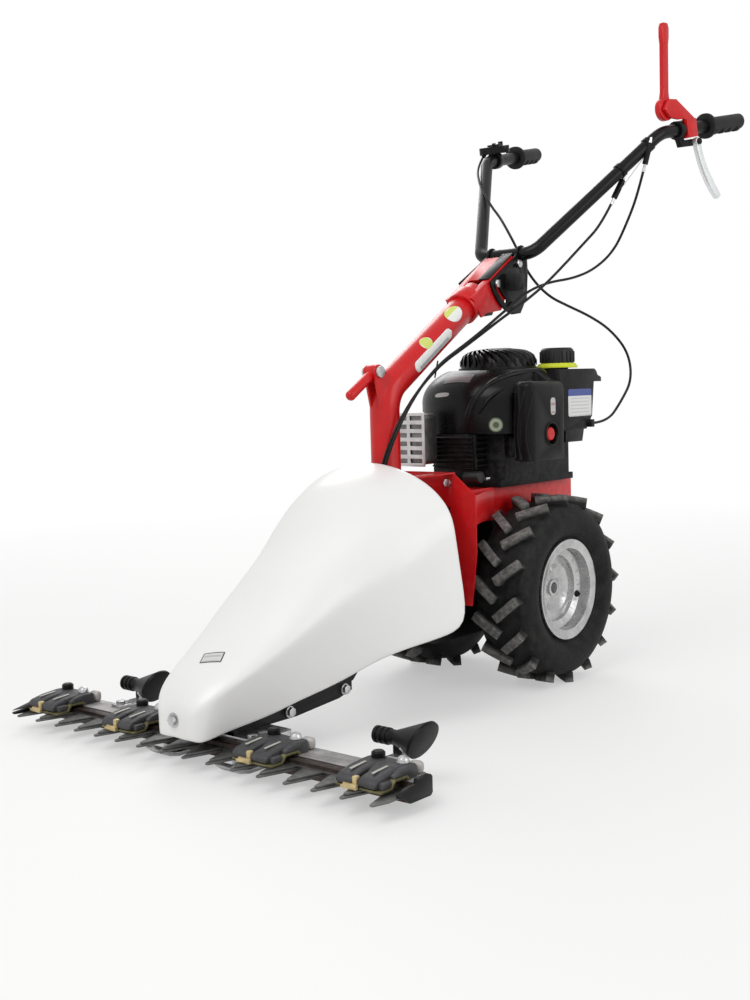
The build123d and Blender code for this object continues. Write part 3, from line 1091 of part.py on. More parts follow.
with BuildPart() as yoke:
    for plate_x in (-YOKE_OUT, YOKE_IN):
        with BuildSketch(side_plane(plate_x)):
            with BuildLine():
                ThreePointArc(pivot_polar(YOKE_R, 203), pivot_polar(YOKE_R, 230), pivot_polar(YOKE_R, 258))
                Polyline(pivot_polar(YOKE_R, 258), off_pivot(6, -90), off_pivot(28, -60), off_pivot(32, -12),
                         off_pivot(30, 18), off_pivot(4, 24), off_pivot(-12, 10), pivot_polar(YOKE_R, 203))
            make_face()
            with BuildLine() as slot_line:
                CenterArc(off_pivot(0, 0), LOCK_REACH, SLOT_ANGLE, TILT)
            SlotArc(slot_line.wire(), 2 * (HEAD_BOLT_R + GAP), mode=Mode.SUBTRACT)
            with Locations(off_pivot(0, 0)):
                Circle(HEAD_BOLT_R + RUN, mode=Mode.SUBTRACT)
        extrude(amount=CHEEK)
    with Locations(Location(((YOKE_IN + YOKE_OUT) / 2, CROSS_Y, CROSS_Z), (0, 90, 0)),
                   Location((-(YOKE_IN + YOKE_OUT) / 2, CROSS_Y, CROSS_Z), (0, 90, 0))):
        Cylinder(BAR_TUBE_R + 4, CHEEK)
    with Locations(at(0, PIVOT_Y + 23, PIVOT_Z - 32)):
        Box(2 * YOKE_OUT, 6, 46)
    # stop bolt beyond the slot, and a junction box on the outer plate
    stop_y = PIVOT_Y + LOCK_REACH * cos(STOP_ANGLE)
    stop_z = PIVOT_Z + LOCK_REACH * sin(STOP_ANGLE)
    for plate_x, turn in ((YOKE_OUT, 90), (-YOKE_OUT, -90)):
        with Locations(Location((plate_x, stop_y, stop_z), (0, turn, 0))):
            Cylinder(6.5, 5, align=(Align.CENTER, Align.CENTER, Align.MIN))
    with Locations(at(YOKE_OUT, PIVOT_Y - 40, PIVOT_Z - 50)):
        Box(22, 30, 30, align=(Align.MIN, Align.MIN, Align.MIN))
    with Locations(Location((0, CROSS_Y, CROSS_Z), (0, 90, 0))):
        Cylinder(BAR_TUBE_R, 4 * YOKE_OUT, mode=Mode.SUBTRACT)
yoke.part.label = "handlebar_yoke"
export_step(yoke.part, "parts/handlebar_yoke.step")

BOLT_HALF = YOKE_OUT + GAP
with BuildPart() as head_bolts:
    for spot_y, spot_z in (off_pivot(0, 0), (LOCK_Y, LOCK_Z)):
        with Locations(Location((0, spot_y, spot_z), (0, 90, 0))):
            Cylinder(HEAD_BOLT_R, 2 * BOLT_HALF)
        for plane_x in (BOLT_HALF, -BOLT_HALF - HEAD_HIGH):
            with BuildSketch(side_plane(plane_x)):
                with Locations((spot_y, spot_z)):
                    RegularPolygon(HEAD_R, 6)
            extrude(amount=HEAD_HIGH)
head_bolts.part.label = "head_bolts"
export_step(head_bolts.part, "parts/head_bolts.step")

for name, side in (("left", 1), ("right", -1)):
    with BuildPart() as grip:
        with Locations(grip_spot(side, 0, 0, GRIP_FLANGE_AT)):
            Cylinder(GRIP_R, GRIP_SPAN - GRIP_FLANGE_AT, align=(Align.CENTER, Align.CENTER, Align.MIN))
            Cylinder(FLANGE_R, 6, align=(Align.CENTER, Align.CENTER, Align.MIN))
        for finger in range(4):
            with Locations(grip_spot(side, 0, -6, GRIP_FLANGE_AT + 26 + finger * 24)):
                Cylinder(GRIP_R - 2.5, 10)
        with Locations(grip_spot(side, 0, 0, GRIP_FLANGE_AT - 1)):
            Cylinder(BAR_TUBE_R, GRIP_SPAN - 3 - GRIP_FLANGE_AT + 1, align=(Align.CENTER, Align.CENTER, Align.MIN),
                     mode=Mode.SUBTRACT)
    grip.part.label = f"grip_{name}"
    export_step(grip.part, f"parts/grip_{name}.step")

# ---------------------------------------------------------------- clutch lever on the left grip
HUB_UP = 41.0
HUB_BACK = 20.0
LEVER_PIN_R = 4.0
CLUTCH_HUB_R = 21.0
CLUTCH_HALF = 6.0
CLUTCH_REACH = 158.0
with BuildPart() as lever_bracket:
    with Locations(grip_spot(1, 0, 0, 77)):
        Box(34, 34, 30)
    with BuildSketch(grip_side(1, -CLUTCH_HALF - 2)):
        with BuildLine():
            Polyline((62, 0), (92, 0), (92, 17), (70, 34), (42, 56), (HUB_BACK, 58), (4, HUB_UP),
                     (HUB_BACK, 24), (44, 19), (60, 18.5), close=True)
        make_face()
    extrude(amount=6)
    with Locations(grip_spot(1, -CLUTCH_HALF - 4, HUB_UP, HUB_BACK, (0, 90, 0))):
        Cylinder(LEVER_PIN_R, CLUTCH_HALF * 2 + 8, align=(Align.CENTER, Align.CENTER, Align.MIN))
    with Locations(grip_spot(1, 0, 0, 62)):
        Cylinder(BAR_TUBE_R, 80, mode=Mode.SUBTRACT)
lever_bracket.part.label = "lever_bracket"
export_step(lever_bracket.part, "parts/lever_bracket.step")

CLUTCH_FRAME = grip_frame(1)
CLUTCH_HUB = CLUTCH_FRAME.from_local_coords((0, HUB_UP, HUB_BACK))


def clutch_plane(half):
    # upright sketch plane through the hub: first axis rearward, second straight up
    outward = -CLUTCH_FRAME.x_dir
    return Plane(origin=CLUTCH_HUB - outward * half, x_dir=(-outward.Y, outward.X, 0), z_dir=outward)


with BuildPart() as clutch_lever:
    with BuildSketch(clutch_plane(CLUTCH_HALF)):
        Circle(CLUTCH_HUB_R)
        with BuildLine():
            Polyline((10, 12), (27, 6), (30, -4), (24, -8), (12, -4), close=True)
        make_face()
    extrude(amount=2 * CLUTCH_HALF)
    with BuildSketch(clutch_plane(5)):
        with BuildLine():
            Polyline((-12, 8), (-7, 32), (-7, 120), (-9.5, 132), (-9.5, 150), (-6, CLUTCH_REACH),
                     (6, CLUTCH_REACH), (9.5, 150), (9.5, 132), (7.5, 120), (7.5, 32), (12, 8), close=True)
        make_face()
    extrude(amount=10)
    with Locations(Location(clutch_plane(30)) * Location((0, 0, 0))):
        Cylinder(LEVER_PIN_R + RUN, 60, align=(Align.CENTER, Align.CENTER, Align.MIN), mode=Mode.SUBTRACT)
clutch_lever.part.label = "clutch_lever"
export_step(clutch_lever.part, "parts/clutch_lever.step")

# ---------------------------------------------------------------- drive lever under the left grip
PERCH_BACK = 94.0
PERCH_DOWN = -26.5
PERCH_PIN_R = 3.0
LEVER_BLADE = 10.0
with BuildPart() as perch:
    with Locations(grip_spot(1, 0, 0, 51.5)):
        Cylinder(BAR_TUBE_R + 5, 13)
    with BuildSketch(grip_side(1, 5)):
        with BuildLine():
            Polyline((45, -8), (58, -8), (64, -20), (104, -20), (104, -33), (52, -32), close=True)
        make_face()
    extrude(amount=10)
    with Locations(grip_spot(1, 5, PERCH_DOWN, PERCH_BACK, (0, -90, 0))):
        Cylinder(PERCH_PIN_R, 11 + LEVER_BLADE, align=(Align.CENTER, Align.CENTER, Align.MIN))
    with Locations(grip_spot(1, -5 - LEVER_BLADE - 2 * GAP, PERCH_DOWN, PERCH_BACK, (0, -90, 0))):
        Cylinder(6, 3, align=(Align.CENTER, Align.CENTER, Align.MIN))
    with Locations(grip_spot(1, 0, 0, 51.5)):
        Cylinder(BAR_TUBE_R, 60, mode=Mode.SUBTRACT)
perch.part.label = "lever_perch"
export_step(perch.part, "parts/lever_perch.step")

with BuildPart() as drive_lever:
    with BuildSketch(grip_side(1, -5 - GAP, PERCH_DOWN, PERCH_BACK)):
        with BuildLine():
            Spline((-7, -2), (-1, -38), (16, -80), (40, -114))
            Line((40, -114), (51, -108))
            Spline((51, -108), (29, -72), (12, -34), (7, -2))
            ThreePointArc((7, -2), (0, 8), (-7, -2))
        make_face()
        Circle(8)
        Circle(PERCH_PIN_R + RUN, mode=Mode.SUBTRACT)
    extrude(amount=LEVER_BLADE)
drive_lever.part.label = "drive_lever"
export_step(drive_lever.part, "parts/drive_lever.step")

# ---------------------------------------------------------------- lines of the control cables
CABLE_RUNS = {
    "clutch": (
        (150, 209, 872), (139.1, 181.9, 823.8), (123.1, 141.7, 785.7), (105, 103.3, 746.7), (86.9, 63.5, 709.1),
        (72.9, 17.1, 678.1), (59.7, -31.6, 650.2), (53.3, -82.2, 623.4), (48.6, -133.5, 597.5),
        (44.8, -185.7, 573.3), (40.5, -232.9, 540.7), (35.9, -276, 499.2), (28, -310, 448.2),
        (14, -325, 391.6), (13, -326, 334.2),
    ),
    "drive": (
        (186, 262, 935), (172.3, 258, 880.6), (147.3, 259.9, 830), (125.3, 249.3, 780.1), (106.4, 209.6, 745.4),
        (91.1, 158.6, 727), (73.8, 105.5, 719.3), (65.7, 52.2, 703.6), (66.4, 1.3, 679.3), (64.4, -48.5, 652.9),
        (58.3, -96.7, 624.1), (53.9, -146.7, 598.2), (50.8, -197.5, 573.8), (46.6, -243, 539.4),
        (41.5, -281, 497), (34.5, -312, 446), (21, -325.5, 390.4), (20, -326, 334.2),
    ),
    "throttle": (
        (-220.9, 314, 1011.2), (-209.4, 273.9, 982.5), (-166, 220, 940), (-125, 185, 905),
        (-95, 165, 878), (-66.4, 148.6, 855.6), (-28.7, 117.9, 825.5), (6.9, 97.2, 786.4),
        (33.2, 94.7, 736), (54.7, 125.3, 695.9), (67.7, 177.8, 677.2), (81.6, 230.3, 659.3),
        (99.9, 276.8, 632.7), (122.8, 304.1, 588.6), (133.9, 296.8, 535.1), (134.2, 256, 495.7),
        (134, 203, 457), THROTTLE_END,
    ),
}

# ---------------------------------------------------------------- throttle on the right grip
THROTTLE_BACK = 41.0
THROTTLE_PIN_R = 4.0
HOUSING_TOP = 29.0
with BuildPart() as throttle_housing:
    with Locations(grip_spot(-1, 0, 0, THROTTLE_BACK)):
        Cylinder(BAR_TUBE_R + 5, 16)
    with Locations(grip_spot(-1, 0, 14, THROTTLE_BACK, (-90, 0, 0))):
        Cylinder(19, HOUSING_TOP - 14, align=(Align.CENTER, Align.CENTER, Align.MIN))
        with Locations((-16, 0, 0), (16, 0, 0)):
            Cylinder(17, HOUSING_TOP - 14, align=(Align.CENTER, Align.CENTER, Align.MIN))
        Cylinder(THROTTLE_PIN_R, HOUSING_TOP - 14 + 7, align=(Align.CENTER, Align.CENTER, Align.MIN))
    # ferrule that takes the cable's end
    cable_end, cable_next = [Vector(x, AXLE_Y + y, z) for x, y, z in CABLE_RUNS["throttle"][:2]]
    with BuildSketch(Plane(origin=cable_end, z_dir=cable_end - cable_next)):
        Circle(CABLE_R + 1.5)
    extrude(amount=12)
    with Locations(grip_spot(-1, 0, 0, THROTTLE_BACK)):
        Cylinder(BAR_TUBE_R, 80, mode=Mode.SUBTRACT)
throttle_housing.part.label = "throttle_housing"
export_step(throttle_housing.part, "parts/throttle_housing.step")

with BuildPart() as throttle_lever:
    with Locations(grip_spot(-1, 0, HOUSING_TOP + GAP, THROTTLE_BACK, (-90, 0, 0))):
        Cylinder(14, 4, align=(Align.CENTER, Align.CENTER, Align.MIN))
        Box(9, 34, 4, align=(Align.CENTER, Align.MAX, Align.MIN))
        with Locations((0, -30, 0)):
            Box(9, 6, 9, align=(Align.CENTER, Align.MAX, Align.MIN))
        Cylinder(THROTTLE_PIN_R + RUN, 8, align=(Align.CENTER, Align.CENTER, Align.MIN), mode=Mode.SUBTRACT)
throttle_lever.part.label = "throttle_lever"
export_step(throttle_lever.part, "parts/throttle_lever.step")

# ================================================================ control cables
def bend_radii(points):
    # each bend takes a little under half of the shorter straight beside it
    radii = []
    for before, corner, after in zip(points, points[1:], points[2:]):
        leg_in = corner - before
        leg_out = after - corner
        half = radians(leg_in.get_angle(leg_out) / 2)
        radii.append(0.45 * min(leg_in.length, leg_out.length) / tan(half))
    return radii


for name, run in CABLE_RUNS.items():
    points = [Vector(x, AXLE_Y + y, z) for x, y, z in run]
    with BuildPart() as cable:
        with BuildLine():
            FilletPolyline(*points, radius=bend_radii(points))
        with BuildSketch(Plane(origin=points[0], z_dir=points[1] - points[0])):
            Circle(CABLE_R)
        sweep()
    cable.part.label = f"{name}_cable"
    export_step(cable.part, f"parts/{name}_cable.step")

# hangers that hold the upper ends of the two cables under the left arm
ARM_FOOT = Vector(CROSS_HALF, CROSS_Y, CROSS_Z)
ARM_RUN = Vector(ARM_HALF, ARM_Y, ARM_Z) - ARM_FOOT
with BuildPart() as hangers:
    for name, share in (("clutch", 0.68), ("drive", 0.90)):
        first, second = [Vector(x, AXLE_Y + y, z) for x, y, z in CABLE_RUNS[name][:2]]
        with Locations(Plane(origin=ARM_FOOT + ARM_RUN * share, z_dir=ARM_RUN).location):
            Cylinder(BAR_TUBE_R + 2, 9)
        with BuildSketch(Plane(origin=first, z_dir=first - second)):
            Rectangle(7, 9)
        extrude(amount=40)
    with Locations(Plane(origin=ARM_FOOT + ARM_RUN * 0.5, z_dir=ARM_RUN).location):
        Cylinder(BAR_TUBE_R, ARM_RUN.length * 0.94, mode=Mode.SUBTRACT)
hangers.part.label = "cable_hangers"
export_step(hangers.part, "parts/cable_hangers.step")

# ================================================================ cover strap and fasteners
hood_seat = hood(COVER_SKIN + GAP, 2.0)
with BuildPart() as strap:
    with Locations(at(0, COVER_REAR - 12, PANEL_TAB)):
        with GridLocations(2 * COVER_BOLT_X, 1, 2, 1):
            Box(20, 24, 60, align=(Align.CENTER, Align.CENTER, Align.MIN))
    add(hood_seat, mode=Mode.INTERSECT)
    with Locations(at(0, PANEL_Y + SHEET, PANEL_TAB)):
        with GridLocations(2 * COVER_BOLT_X, 1, 2, 1):
            Box(20, PANEL_Y + SHEET - COVER_REAR + 10, SHEET, align=(Align.CENTER, Align.MAX, Align.MIN))
    with Locations(at(0, PANEL_Y, PANEL_TAB + SHEET)):
        Box(2 * COVER_BOLT_X + 16, SHEET, 30, align=(Align.CENTER, Align.MIN, Align.MAX))
    with Locations(Location((0, PANEL_Y, COVER_BOLT_Z), (90, 0, 0))):
        with GridLocations(2 * COVER_BOLT_X, 1, 2, 1):
            Cylinder(BOLT_R + GAP, 10 * SHEET, mode=Mode.SUBTRACT)
strap.part.label = "cover_strap"
export_step(strap.part, "parts/cover_strap.step")


def hex_bolt(grip, washer=0.0):
    # head above the seat at the origin, shank below it
    with BuildPart() as made:
        lift = 1.6 if washer else 0.0
        if washer:
            Cylinder(washer, lift, align=(Align.CENTER, Align.CENTER, Align.MIN))
        with BuildSketch(Plane.XY.offset(lift)):
            RegularPolygon(HEAD_R, 6)
        extrude(amount=HEAD_HIGH)
        Cylinder(BOLT_R, grip, align=(Align.CENTER, Align.CENTER, Align.MAX))
    return made.part


TO_LEFT = (0, 90, 0)
TO_RIGHT = (0, -90, 0)
FORWARD = (90, 0, 0)
SEATS = []
for bolt_y, bolt_z in GEARBOX_BOLTS:
    SEATS += [(Location((DECK_HALF, bolt_y, bolt_z), TO_LEFT), 18, 0.0),
              (Location((-DECK_HALF, bolt_y, bolt_z), TO_RIGHT), 18, 0.0)]
for bolt_y, bolt_z in ARM_BOLTS:
    SEATS += [(Location((DRIVE_HALF + ARM, bolt_y, bolt_z), TO_LEFT), 22, 9.0),
              (Location((-DRIVE_HALF - ARM, bolt_y, bolt_z), TO_RIGHT), 22, 9.0)]
for dx in (-FOOT_BOLT, FOOT_BOLT):
    for dy in (-FOOT_BOLT, FOOT_BOLT):
        SEATS.append((at(dx, COLUMN_Y + dy, COLUMN_FOOT + FOOT_PLATE), FOOT_PLATE + GEARBOX_WALL, 0.0))
for dx in (-COVER_BOLT_X, COVER_BOLT_X):
    SEATS.append((Location((dx, PANEL_Y - SHEET, COVER_BOLT_Z), FORWARD), 4 * SHEET, 0.0))
for bolt_x, bolt_y in MOUNT_BOLTS:
    SEATS.append((at(bolt_x, bolt_y, DECK_Z + FOOT_THICK), FOOT_THICK + 3 * DECK_SHEET, 0.0))
for bolt_x, bolt_y in PLATE_BOLTS:
    SEATS.append((at(bolt_x, bolt_y, MOUNT_Z + MOUNT_THICK), MOUNT_THICK + BEAM_THICK + 8, 0.0))
for knob_x in KNOB_AT:
    SEATS.append((at(knob_x, KNOB_STUD_Y, KNOB_BASE), KNOB_BASE - BEAM_BASE, 0.0))
for holder_x in HOLDER_AT:
    for dx in (-STUD_STEP, STUD_STEP):
        SEATS.append((at(holder_x + dx, STUD_Y, HOLDER_TOP), HOLDER_TOP - BEAM_BASE, 9.0))
SEATS.append((Location((0, AXLE_Y - 769, NOSE_BOLT_Z), FORWARD), 27, 11.0))
with BuildPart() as frame_bolts:
    for seat, grip_length, washer_r in SEATS:
        add(hex_bolt(grip_length, washer_r).moved(seat))
    with Locations(Location((0, LEVER_Y, LEVER_Z), TO_LEFT)):
        Cylinder(LEVER_BOLT_R, 2 * (LEVER_HUB_HALF + GAP + EAR))
        with Locations((0, 0, LEVER_HUB_HALF + GAP + EAR), (0, 0, -LEVER_HUB_HALF - GAP - EAR - HEAD_HIGH)):
            Cylinder(HEAD_R + 2, HEAD_HIGH, align=(Align.CENTER, Align.CENTER, Align.MIN))
frame_bolts.part.label = "frame_bolts"
export_step(frame_bolts.part, "parts/frame_bolts.step")
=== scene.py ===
import json
import math
import bmesh
import bpy
from mathutils import Euler, Matrix, Vector
from mathutils.bvhtree import BVHTree


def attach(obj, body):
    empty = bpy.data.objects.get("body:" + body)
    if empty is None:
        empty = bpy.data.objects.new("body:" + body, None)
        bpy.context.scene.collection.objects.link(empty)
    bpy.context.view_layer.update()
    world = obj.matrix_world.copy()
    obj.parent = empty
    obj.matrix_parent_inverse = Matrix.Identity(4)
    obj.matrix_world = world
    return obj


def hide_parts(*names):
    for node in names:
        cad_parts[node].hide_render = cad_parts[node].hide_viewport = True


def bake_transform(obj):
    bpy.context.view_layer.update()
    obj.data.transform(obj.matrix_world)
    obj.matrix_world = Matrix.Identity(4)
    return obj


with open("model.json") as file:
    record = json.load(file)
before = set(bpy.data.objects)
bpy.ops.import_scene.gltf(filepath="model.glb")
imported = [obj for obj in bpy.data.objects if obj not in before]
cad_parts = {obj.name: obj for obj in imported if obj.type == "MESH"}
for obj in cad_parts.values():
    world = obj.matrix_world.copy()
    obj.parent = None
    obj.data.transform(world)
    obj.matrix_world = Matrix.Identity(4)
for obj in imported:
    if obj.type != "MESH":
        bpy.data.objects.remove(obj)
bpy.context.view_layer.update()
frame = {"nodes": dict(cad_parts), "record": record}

axleY = 0.1165  # the axle's place along the machine
print("frame loaded")


def spot(x, y, z):
    # millimetres, counted from the axle's line and the ground, to metres
    return Vector((x / 1000, y / 1000 + axleY, z / 1000))


class Wire:
    # one shader socket that can be used in sums
    def __init__(self, tree, socket):
        self.tree = tree
        self.socket = socket

    def maths(self, operation, *others, flip=False):
        values = [self, *others]
        if flip:
            values.reverse()
        node = self.tree.nodes.new("ShaderNodeMath")
        node.operation = operation
        for socket, value in zip(node.inputs, values):
            if isinstance(value, Wire):
                self.tree.links.new(value.socket, socket)
            else:
                socket.default_value = value
        return Wire(self.tree, node.outputs[0])

    def __add__(self, other):
        return self.maths("ADD", other)

    def __sub__(self, other):
        return self.maths("SUBTRACT", other)

    def __rsub__(self, other):
        return self.maths("SUBTRACT", other, flip=True)

    def __mul__(self, other):
        return self.maths("MULTIPLY", other)

    def above(self, edge):
        return self.maths("GREATER_THAN", edge)

    def below(self, edge):
        return self.maths("LESS_THAN", edge)


class Finish:
    # a material, or the sky, under construction
    def __init__(self, name, home=None):
        home = bpy.data.materials if home is None else home
        self.material = home.new(name)
        self.material.use_nodes = True
        self.tree = self.material.node_tree
        self.tree.nodes.clear()
        if home == bpy.data.materials:
            self.place = self.node("ShaderNodeTexCoord", output="Object")

    def node(self, kind, settings=None, inputs=None, output=0):
        made = self.tree.nodes.new(kind)
        for key, value in (settings or {}).items():
            setattr(made, key, value)
        for key, value in (inputs or {}).items():
            if isinstance(value, Wire):
                self.tree.links.new(value.socket, made.inputs[key])
            elif made.inputs[key].type == "RGBA":
                made.inputs[key].default_value = (*value[:3], 1)
            else:
                made.inputs[key].default_value = value
        return Wire(self.tree, made.outputs[output]) if made.outputs else None

    def noise(self, scale, detail=3.0, roughness=0.55, place=None):
        inputs = {"Vector": place or self.place, "Scale": scale, "Detail": detail, "Roughness": roughness}
        return self.node("ShaderNodeTexNoise", None, inputs)

    def axes(self, letters, place=None):
        # one value for each letter
        return [self.node("ShaderNodeSeparateXYZ", None, {0: place or self.place}, "xyz".index(letter))
                for letter in letters]

    def range(self, value, low, high, toLow=0.0, toHigh=1.0):
        inputs = {"Value": value, "From Min": low, "From Max": high, "To Min": toLow, "To Max": toHigh}
        return self.node("ShaderNodeMapRange", {"clamp": True}, inputs)

    def tint(self, factor, first, second):
        # 6 and 7 are the colour inputs of a Mix node, 2 its colour output
        return self.node("ShaderNodeMix", {"data_type": "RGBA"}, {0: factor, 6: first, 7: second}, 2)

    def bump(self, height, distance, strength=1.0):
        inputs = {"Height": height, "Distance": distance, "Strength": strength}
        return self.node("ShaderNodeBump", None, inputs)

    def edges(self, low=0.51, high=0.60):
        # rises where a corner stands out
        point = self.node("ShaderNodeNewGeometry", output="Pointiness")
        return self.range(point, low, high)

    def done(self, colour, roughness, metallic=0.0, normal=None, **fixed):
        inputs = {"Base Color": colour, "Roughness": roughness, "Metallic": metallic, **fixed}
        if normal:
            inputs["Normal"] = normal
        self.show(self.node("ShaderNodeBsdfPrincipled", None, inputs))
        return self.material

    def show(self, shader, kind="ShaderNodeOutputMaterial"):
        self.node(kind, None, {0: shader})


# finishes

glossLow = "Specular IOR Level"


def paint(name, colour, roughness=0.30, dust=(0.30, 0.27, 0.22), dustShare=0.06, coat=0.18, gloss=0.28):
    f = Finish(name)
    dusty = f.range(f.noise(9, 5), 0.5, 0.8, 0.0, dustShare)
    shade = f.tint(f.noise(30, 2), colour, tuple(c * 0.84 for c in colour))
    worn = f.edges(0.53, 0.66) * f.range(f.noise(75, 4), 0.42, 0.62, 0.0, 0.55)
    pale = tuple(min(1, c * 1.6 + 0.05) for c in colour)
    rough = f.range(f.noise(60, 4), 0.3, 0.7, roughness - 0.04, roughness + 0.07) + dusty * 0.6 + worn * 0.2
    peel = f.bump(f.noise(420, 2), 0.0003, 0.22)
    top = f.tint(dusty, f.tint(worn, shade, pale), dust)
    return f.done(top, rough, 0.0, peel, **{"Coat Weight": coat, "Coat Roughness": 0.12, glossLow: gloss})


def plastic(name, colour, roughness=0.42, grain=0.35, grainScale=1400, pale=0.02, gloss=0.2):
    f = Finish(name)
    worn = f.range(f.noise(22, 5), 0.45, 0.8, 0.0, pale)
    rub = f.edges(0.52, 0.64) * f.range(f.noise(90, 4), 0.4, 0.65, 0.0, 0.16)
    shade = f.tint(worn + rub, colour, tuple(min(1, c * 1.4 + 0.10) for c in colour))
    rough = f.range(f.noise(40, 4), 0.3, 0.7, roughness - 0.05, roughness + 0.06)
    return f.done(shade, rough, 0.0, f.bump(f.noise(grainScale, 2), 0.0002, grain), **{glossLow: gloss})


def metal(name, colour, roughness=0.3, dark=0.6, scale=60, metallic=1.0, depth=0.0003, edge=0.35):
    f = Finish(name)
    stain = f.range(f.noise(scale, 5, 0.6), 0.35, 0.7)
    shade = f.tint(stain, tuple(c * dark for c in colour), colour)
    bright = f.tint(f.edges() * edge, shade, tuple(min(1, c * 1.7 + 0.08) for c in colour))
    rough = f.range(f.noise(scale * 2.3, 4, 0.6), 0.3, 0.7, roughness + 0.1, roughness - 0.06)
    return f.done(bright, rough, metallic, f.bump(f.noise(scale * 6, 3, 0.6), depth, 0.4))


tyreFacts = {"rubber": (0.0050, 0.0050, 0.0054), "dust": (0.24, 0.235, 0.225), "axleZ": 0.168,
             "lugEdge": 0.1575, "lugTop": 0.1655, "ringPitch": 1570, "rings": (0.140, 0.138, 0.096, 0.099)}


def tyreFinish():
    f = Finish("tyreRubber")
    y, z = f.axes("yz")
    up = z - tyreFacts["axleZ"]
    back = y - axleY
    radius = (up * up + back * back).maths("SQRT")
    scuff = f.noise(55, 5)
    top = f.range(radius, tyreFacts["lugEdge"], tyreFacts["lugTop"])
    patch = f.range(f.noise(120, 4), 0.42, 0.62)
    dusty = f.range(scuff, 0.4, 0.8, 0.0, 0.10) + top * f.range(patch, 0, 1, 0.35, 0.75)
    dusty = dusty + f.edges(0.52, 0.62) * 0.25
    outer, outerFull, inner, innerFull = tyreFacts["rings"]
    ring = (radius * tyreFacts["ringPitch"]).maths("SINE")
    ring = ring * f.range(radius, outer, outerFull) * f.range(radius, inner, innerFull)
    shade = f.tint(dusty, tyreFacts["rubber"], tyreFacts["dust"])
    rough = f.range(scuff, 0.3, 0.7, 0.50, 0.72)
    relief = ring * 0.35 + f.noise(420, 4) * 0.3  # moulded rings on the side wall
    return f.done(shade, rough, 0.0, f.bump(relief, 0.0012, 0.7), **{glossLow: 0.18})


def bladeFinish():
    f = Finish("bladeSteel")
    y, z = f.axes("yz")
    patch = f.range(f.noise(70, 5), 0.4, 0.65)
    drawn = f.node("ShaderNodeMapping", None, {"Vector": f.place, "Scale": (14, 1.2, 3)})
    scratch = f.noise(60, 3, 0.7, drawn)
    ground = f.tint(patch, (0.048, 0.049, 0.049), (0.095, 0.095, 0.093))
    oiled = f.tint(patch, (0.022, 0.017, 0.013), (0.060, 0.045, 0.034))
    shade = f.tint(f.range(y, axleY - 0.735, axleY - 0.705), ground, oiled)
    shade = f.tint(f.edges(0.51, 0.58) * 0.4, shade, (0.34, 0.34, 0.33))
    shade = f.tint(z.above(0.0312) * 0.85, shade, f.tint(patch, (0.020, 0.011, 0.009), (0.055, 0.032, 0.026)))
    rough = f.range(f.noise(160, 4), 0.3, 0.7, 0.34, 0.52)
    return f.done(shade, rough, 0.65, f.bump(scratch, 0.0004, 0.4))


def beamFinish():
    f = Finish("beamSteel")
    z = f.axes("z")[0]
    patch = f.range(f.noise(40, 5), 0.4, 0.65)
    # the face keeps a dark red-brown steel tone; the top band is painted much paler, painted light on the
    # upward face over its grey steel tone
    face = f.tint(patch, (0.035, 0.022, 0.017), (0.085, 0.055, 0.042))
    top = f.tint(patch, (0.30, 0.29, 0.28), (0.46, 0.45, 0.44))
    shade = f.tint(f.range(z, 0.0345, 0.0358), face, top)
    rough = f.range(f.noise(130, 4), 0.3, 0.7, 0.42, 0.6)
    return f.done(shade, rough, 0.45, f.bump(f.noise(300, 3), 0.0004, 0.4))


def coverFinish():
    f = Finish("coverWhite")
    z = f.axes("z")[0]
    film = f.range(f.noise(5, 4), 0.45, 0.75, 0.0, 0.06)
    low = f.range(z, 0.13, 0.04) * f.range(f.noise(18, 5), 0.38, 0.7, 0.0, 0.22)
    shade = f.tint(film + low, (0.80, 0.80, 0.79), (0.50, 0.48, 0.45))
    rough = f.range(f.noise(26, 4), 0.3, 0.7, 0.30, 0.40)
    ripple = f.bump(f.noise(700, 2) * 0.2 + f.noise(14, 2), 0.0006, 0.15)
    return f.done(shade, rough, 0.0, ripple, **{"Coat Weight": 0.2, "Coat Roughness": 0.2})


capFacts = {"ringTop": 0.5690, "green": (0.66, 0.72, 0.035), "black": (0.008, 0.008, 0.008)}


def capFinish():
    # the toothed ring at the foot is moulded in yellow-green
    f = Finish("capPlastic")
    z = f.axes("z")[0]
    foot = z.below(capFacts["ringTop"])
    mottle = f.tint(f.noise(60, 4), capFacts["black"], (0.020, 0.020, 0.020))
    shade = f.tint(foot, mottle, f.tint(f.noise(80, 3), capFacts["green"], (0.52, 0.60, 0.03)))
    rough = f.range(f.noise(90, 3), 0.3, 0.7, 0.38, 0.52)
    return f.done(shade, rough, 0.0, f.bump(f.noise(1200, 2), 0.0002, 0.3), **{glossLow: 0.3})


def labelFinish(name, ground, stripe, stripes, header=None, headerShare=0.25, border=None):
    # a blank printed label on its own UV map: u across, v up
    f = Finish(name)
    u, v = f.axes("xy", f.node("ShaderNodeTexCoord", output="UV"))
    shade = f.tint(f.noise(300, 2), ground, tuple(c * 0.93 for c in ground))
    if stripes:
        line = (v * (stripes * math.tau)).maths("SINE").above(0.55)
        line = line * u.above(0.10) * u.below(0.88) * v.above(0.10)
        if header:
            line = line * v.below(0.93 - headerShare)
        shade = f.tint(line * 0.55, shade, stripe)
    if header:
        shade = f.tint(v.above(1 - headerShare), shade, header)
    if border:
        inside = u.above(0.05) * u.below(0.95) * v.above(0.08) * v.below(0.92)
        shade = f.tint(1 - inside, shade, border)
    rough = f.range(f.noise(220, 3), 0.3, 0.7, 0.30, 0.42)
    return f.done(shade, rough, 0.0, f.bump(f.noise(500, 2), 0.0001, 0.2))


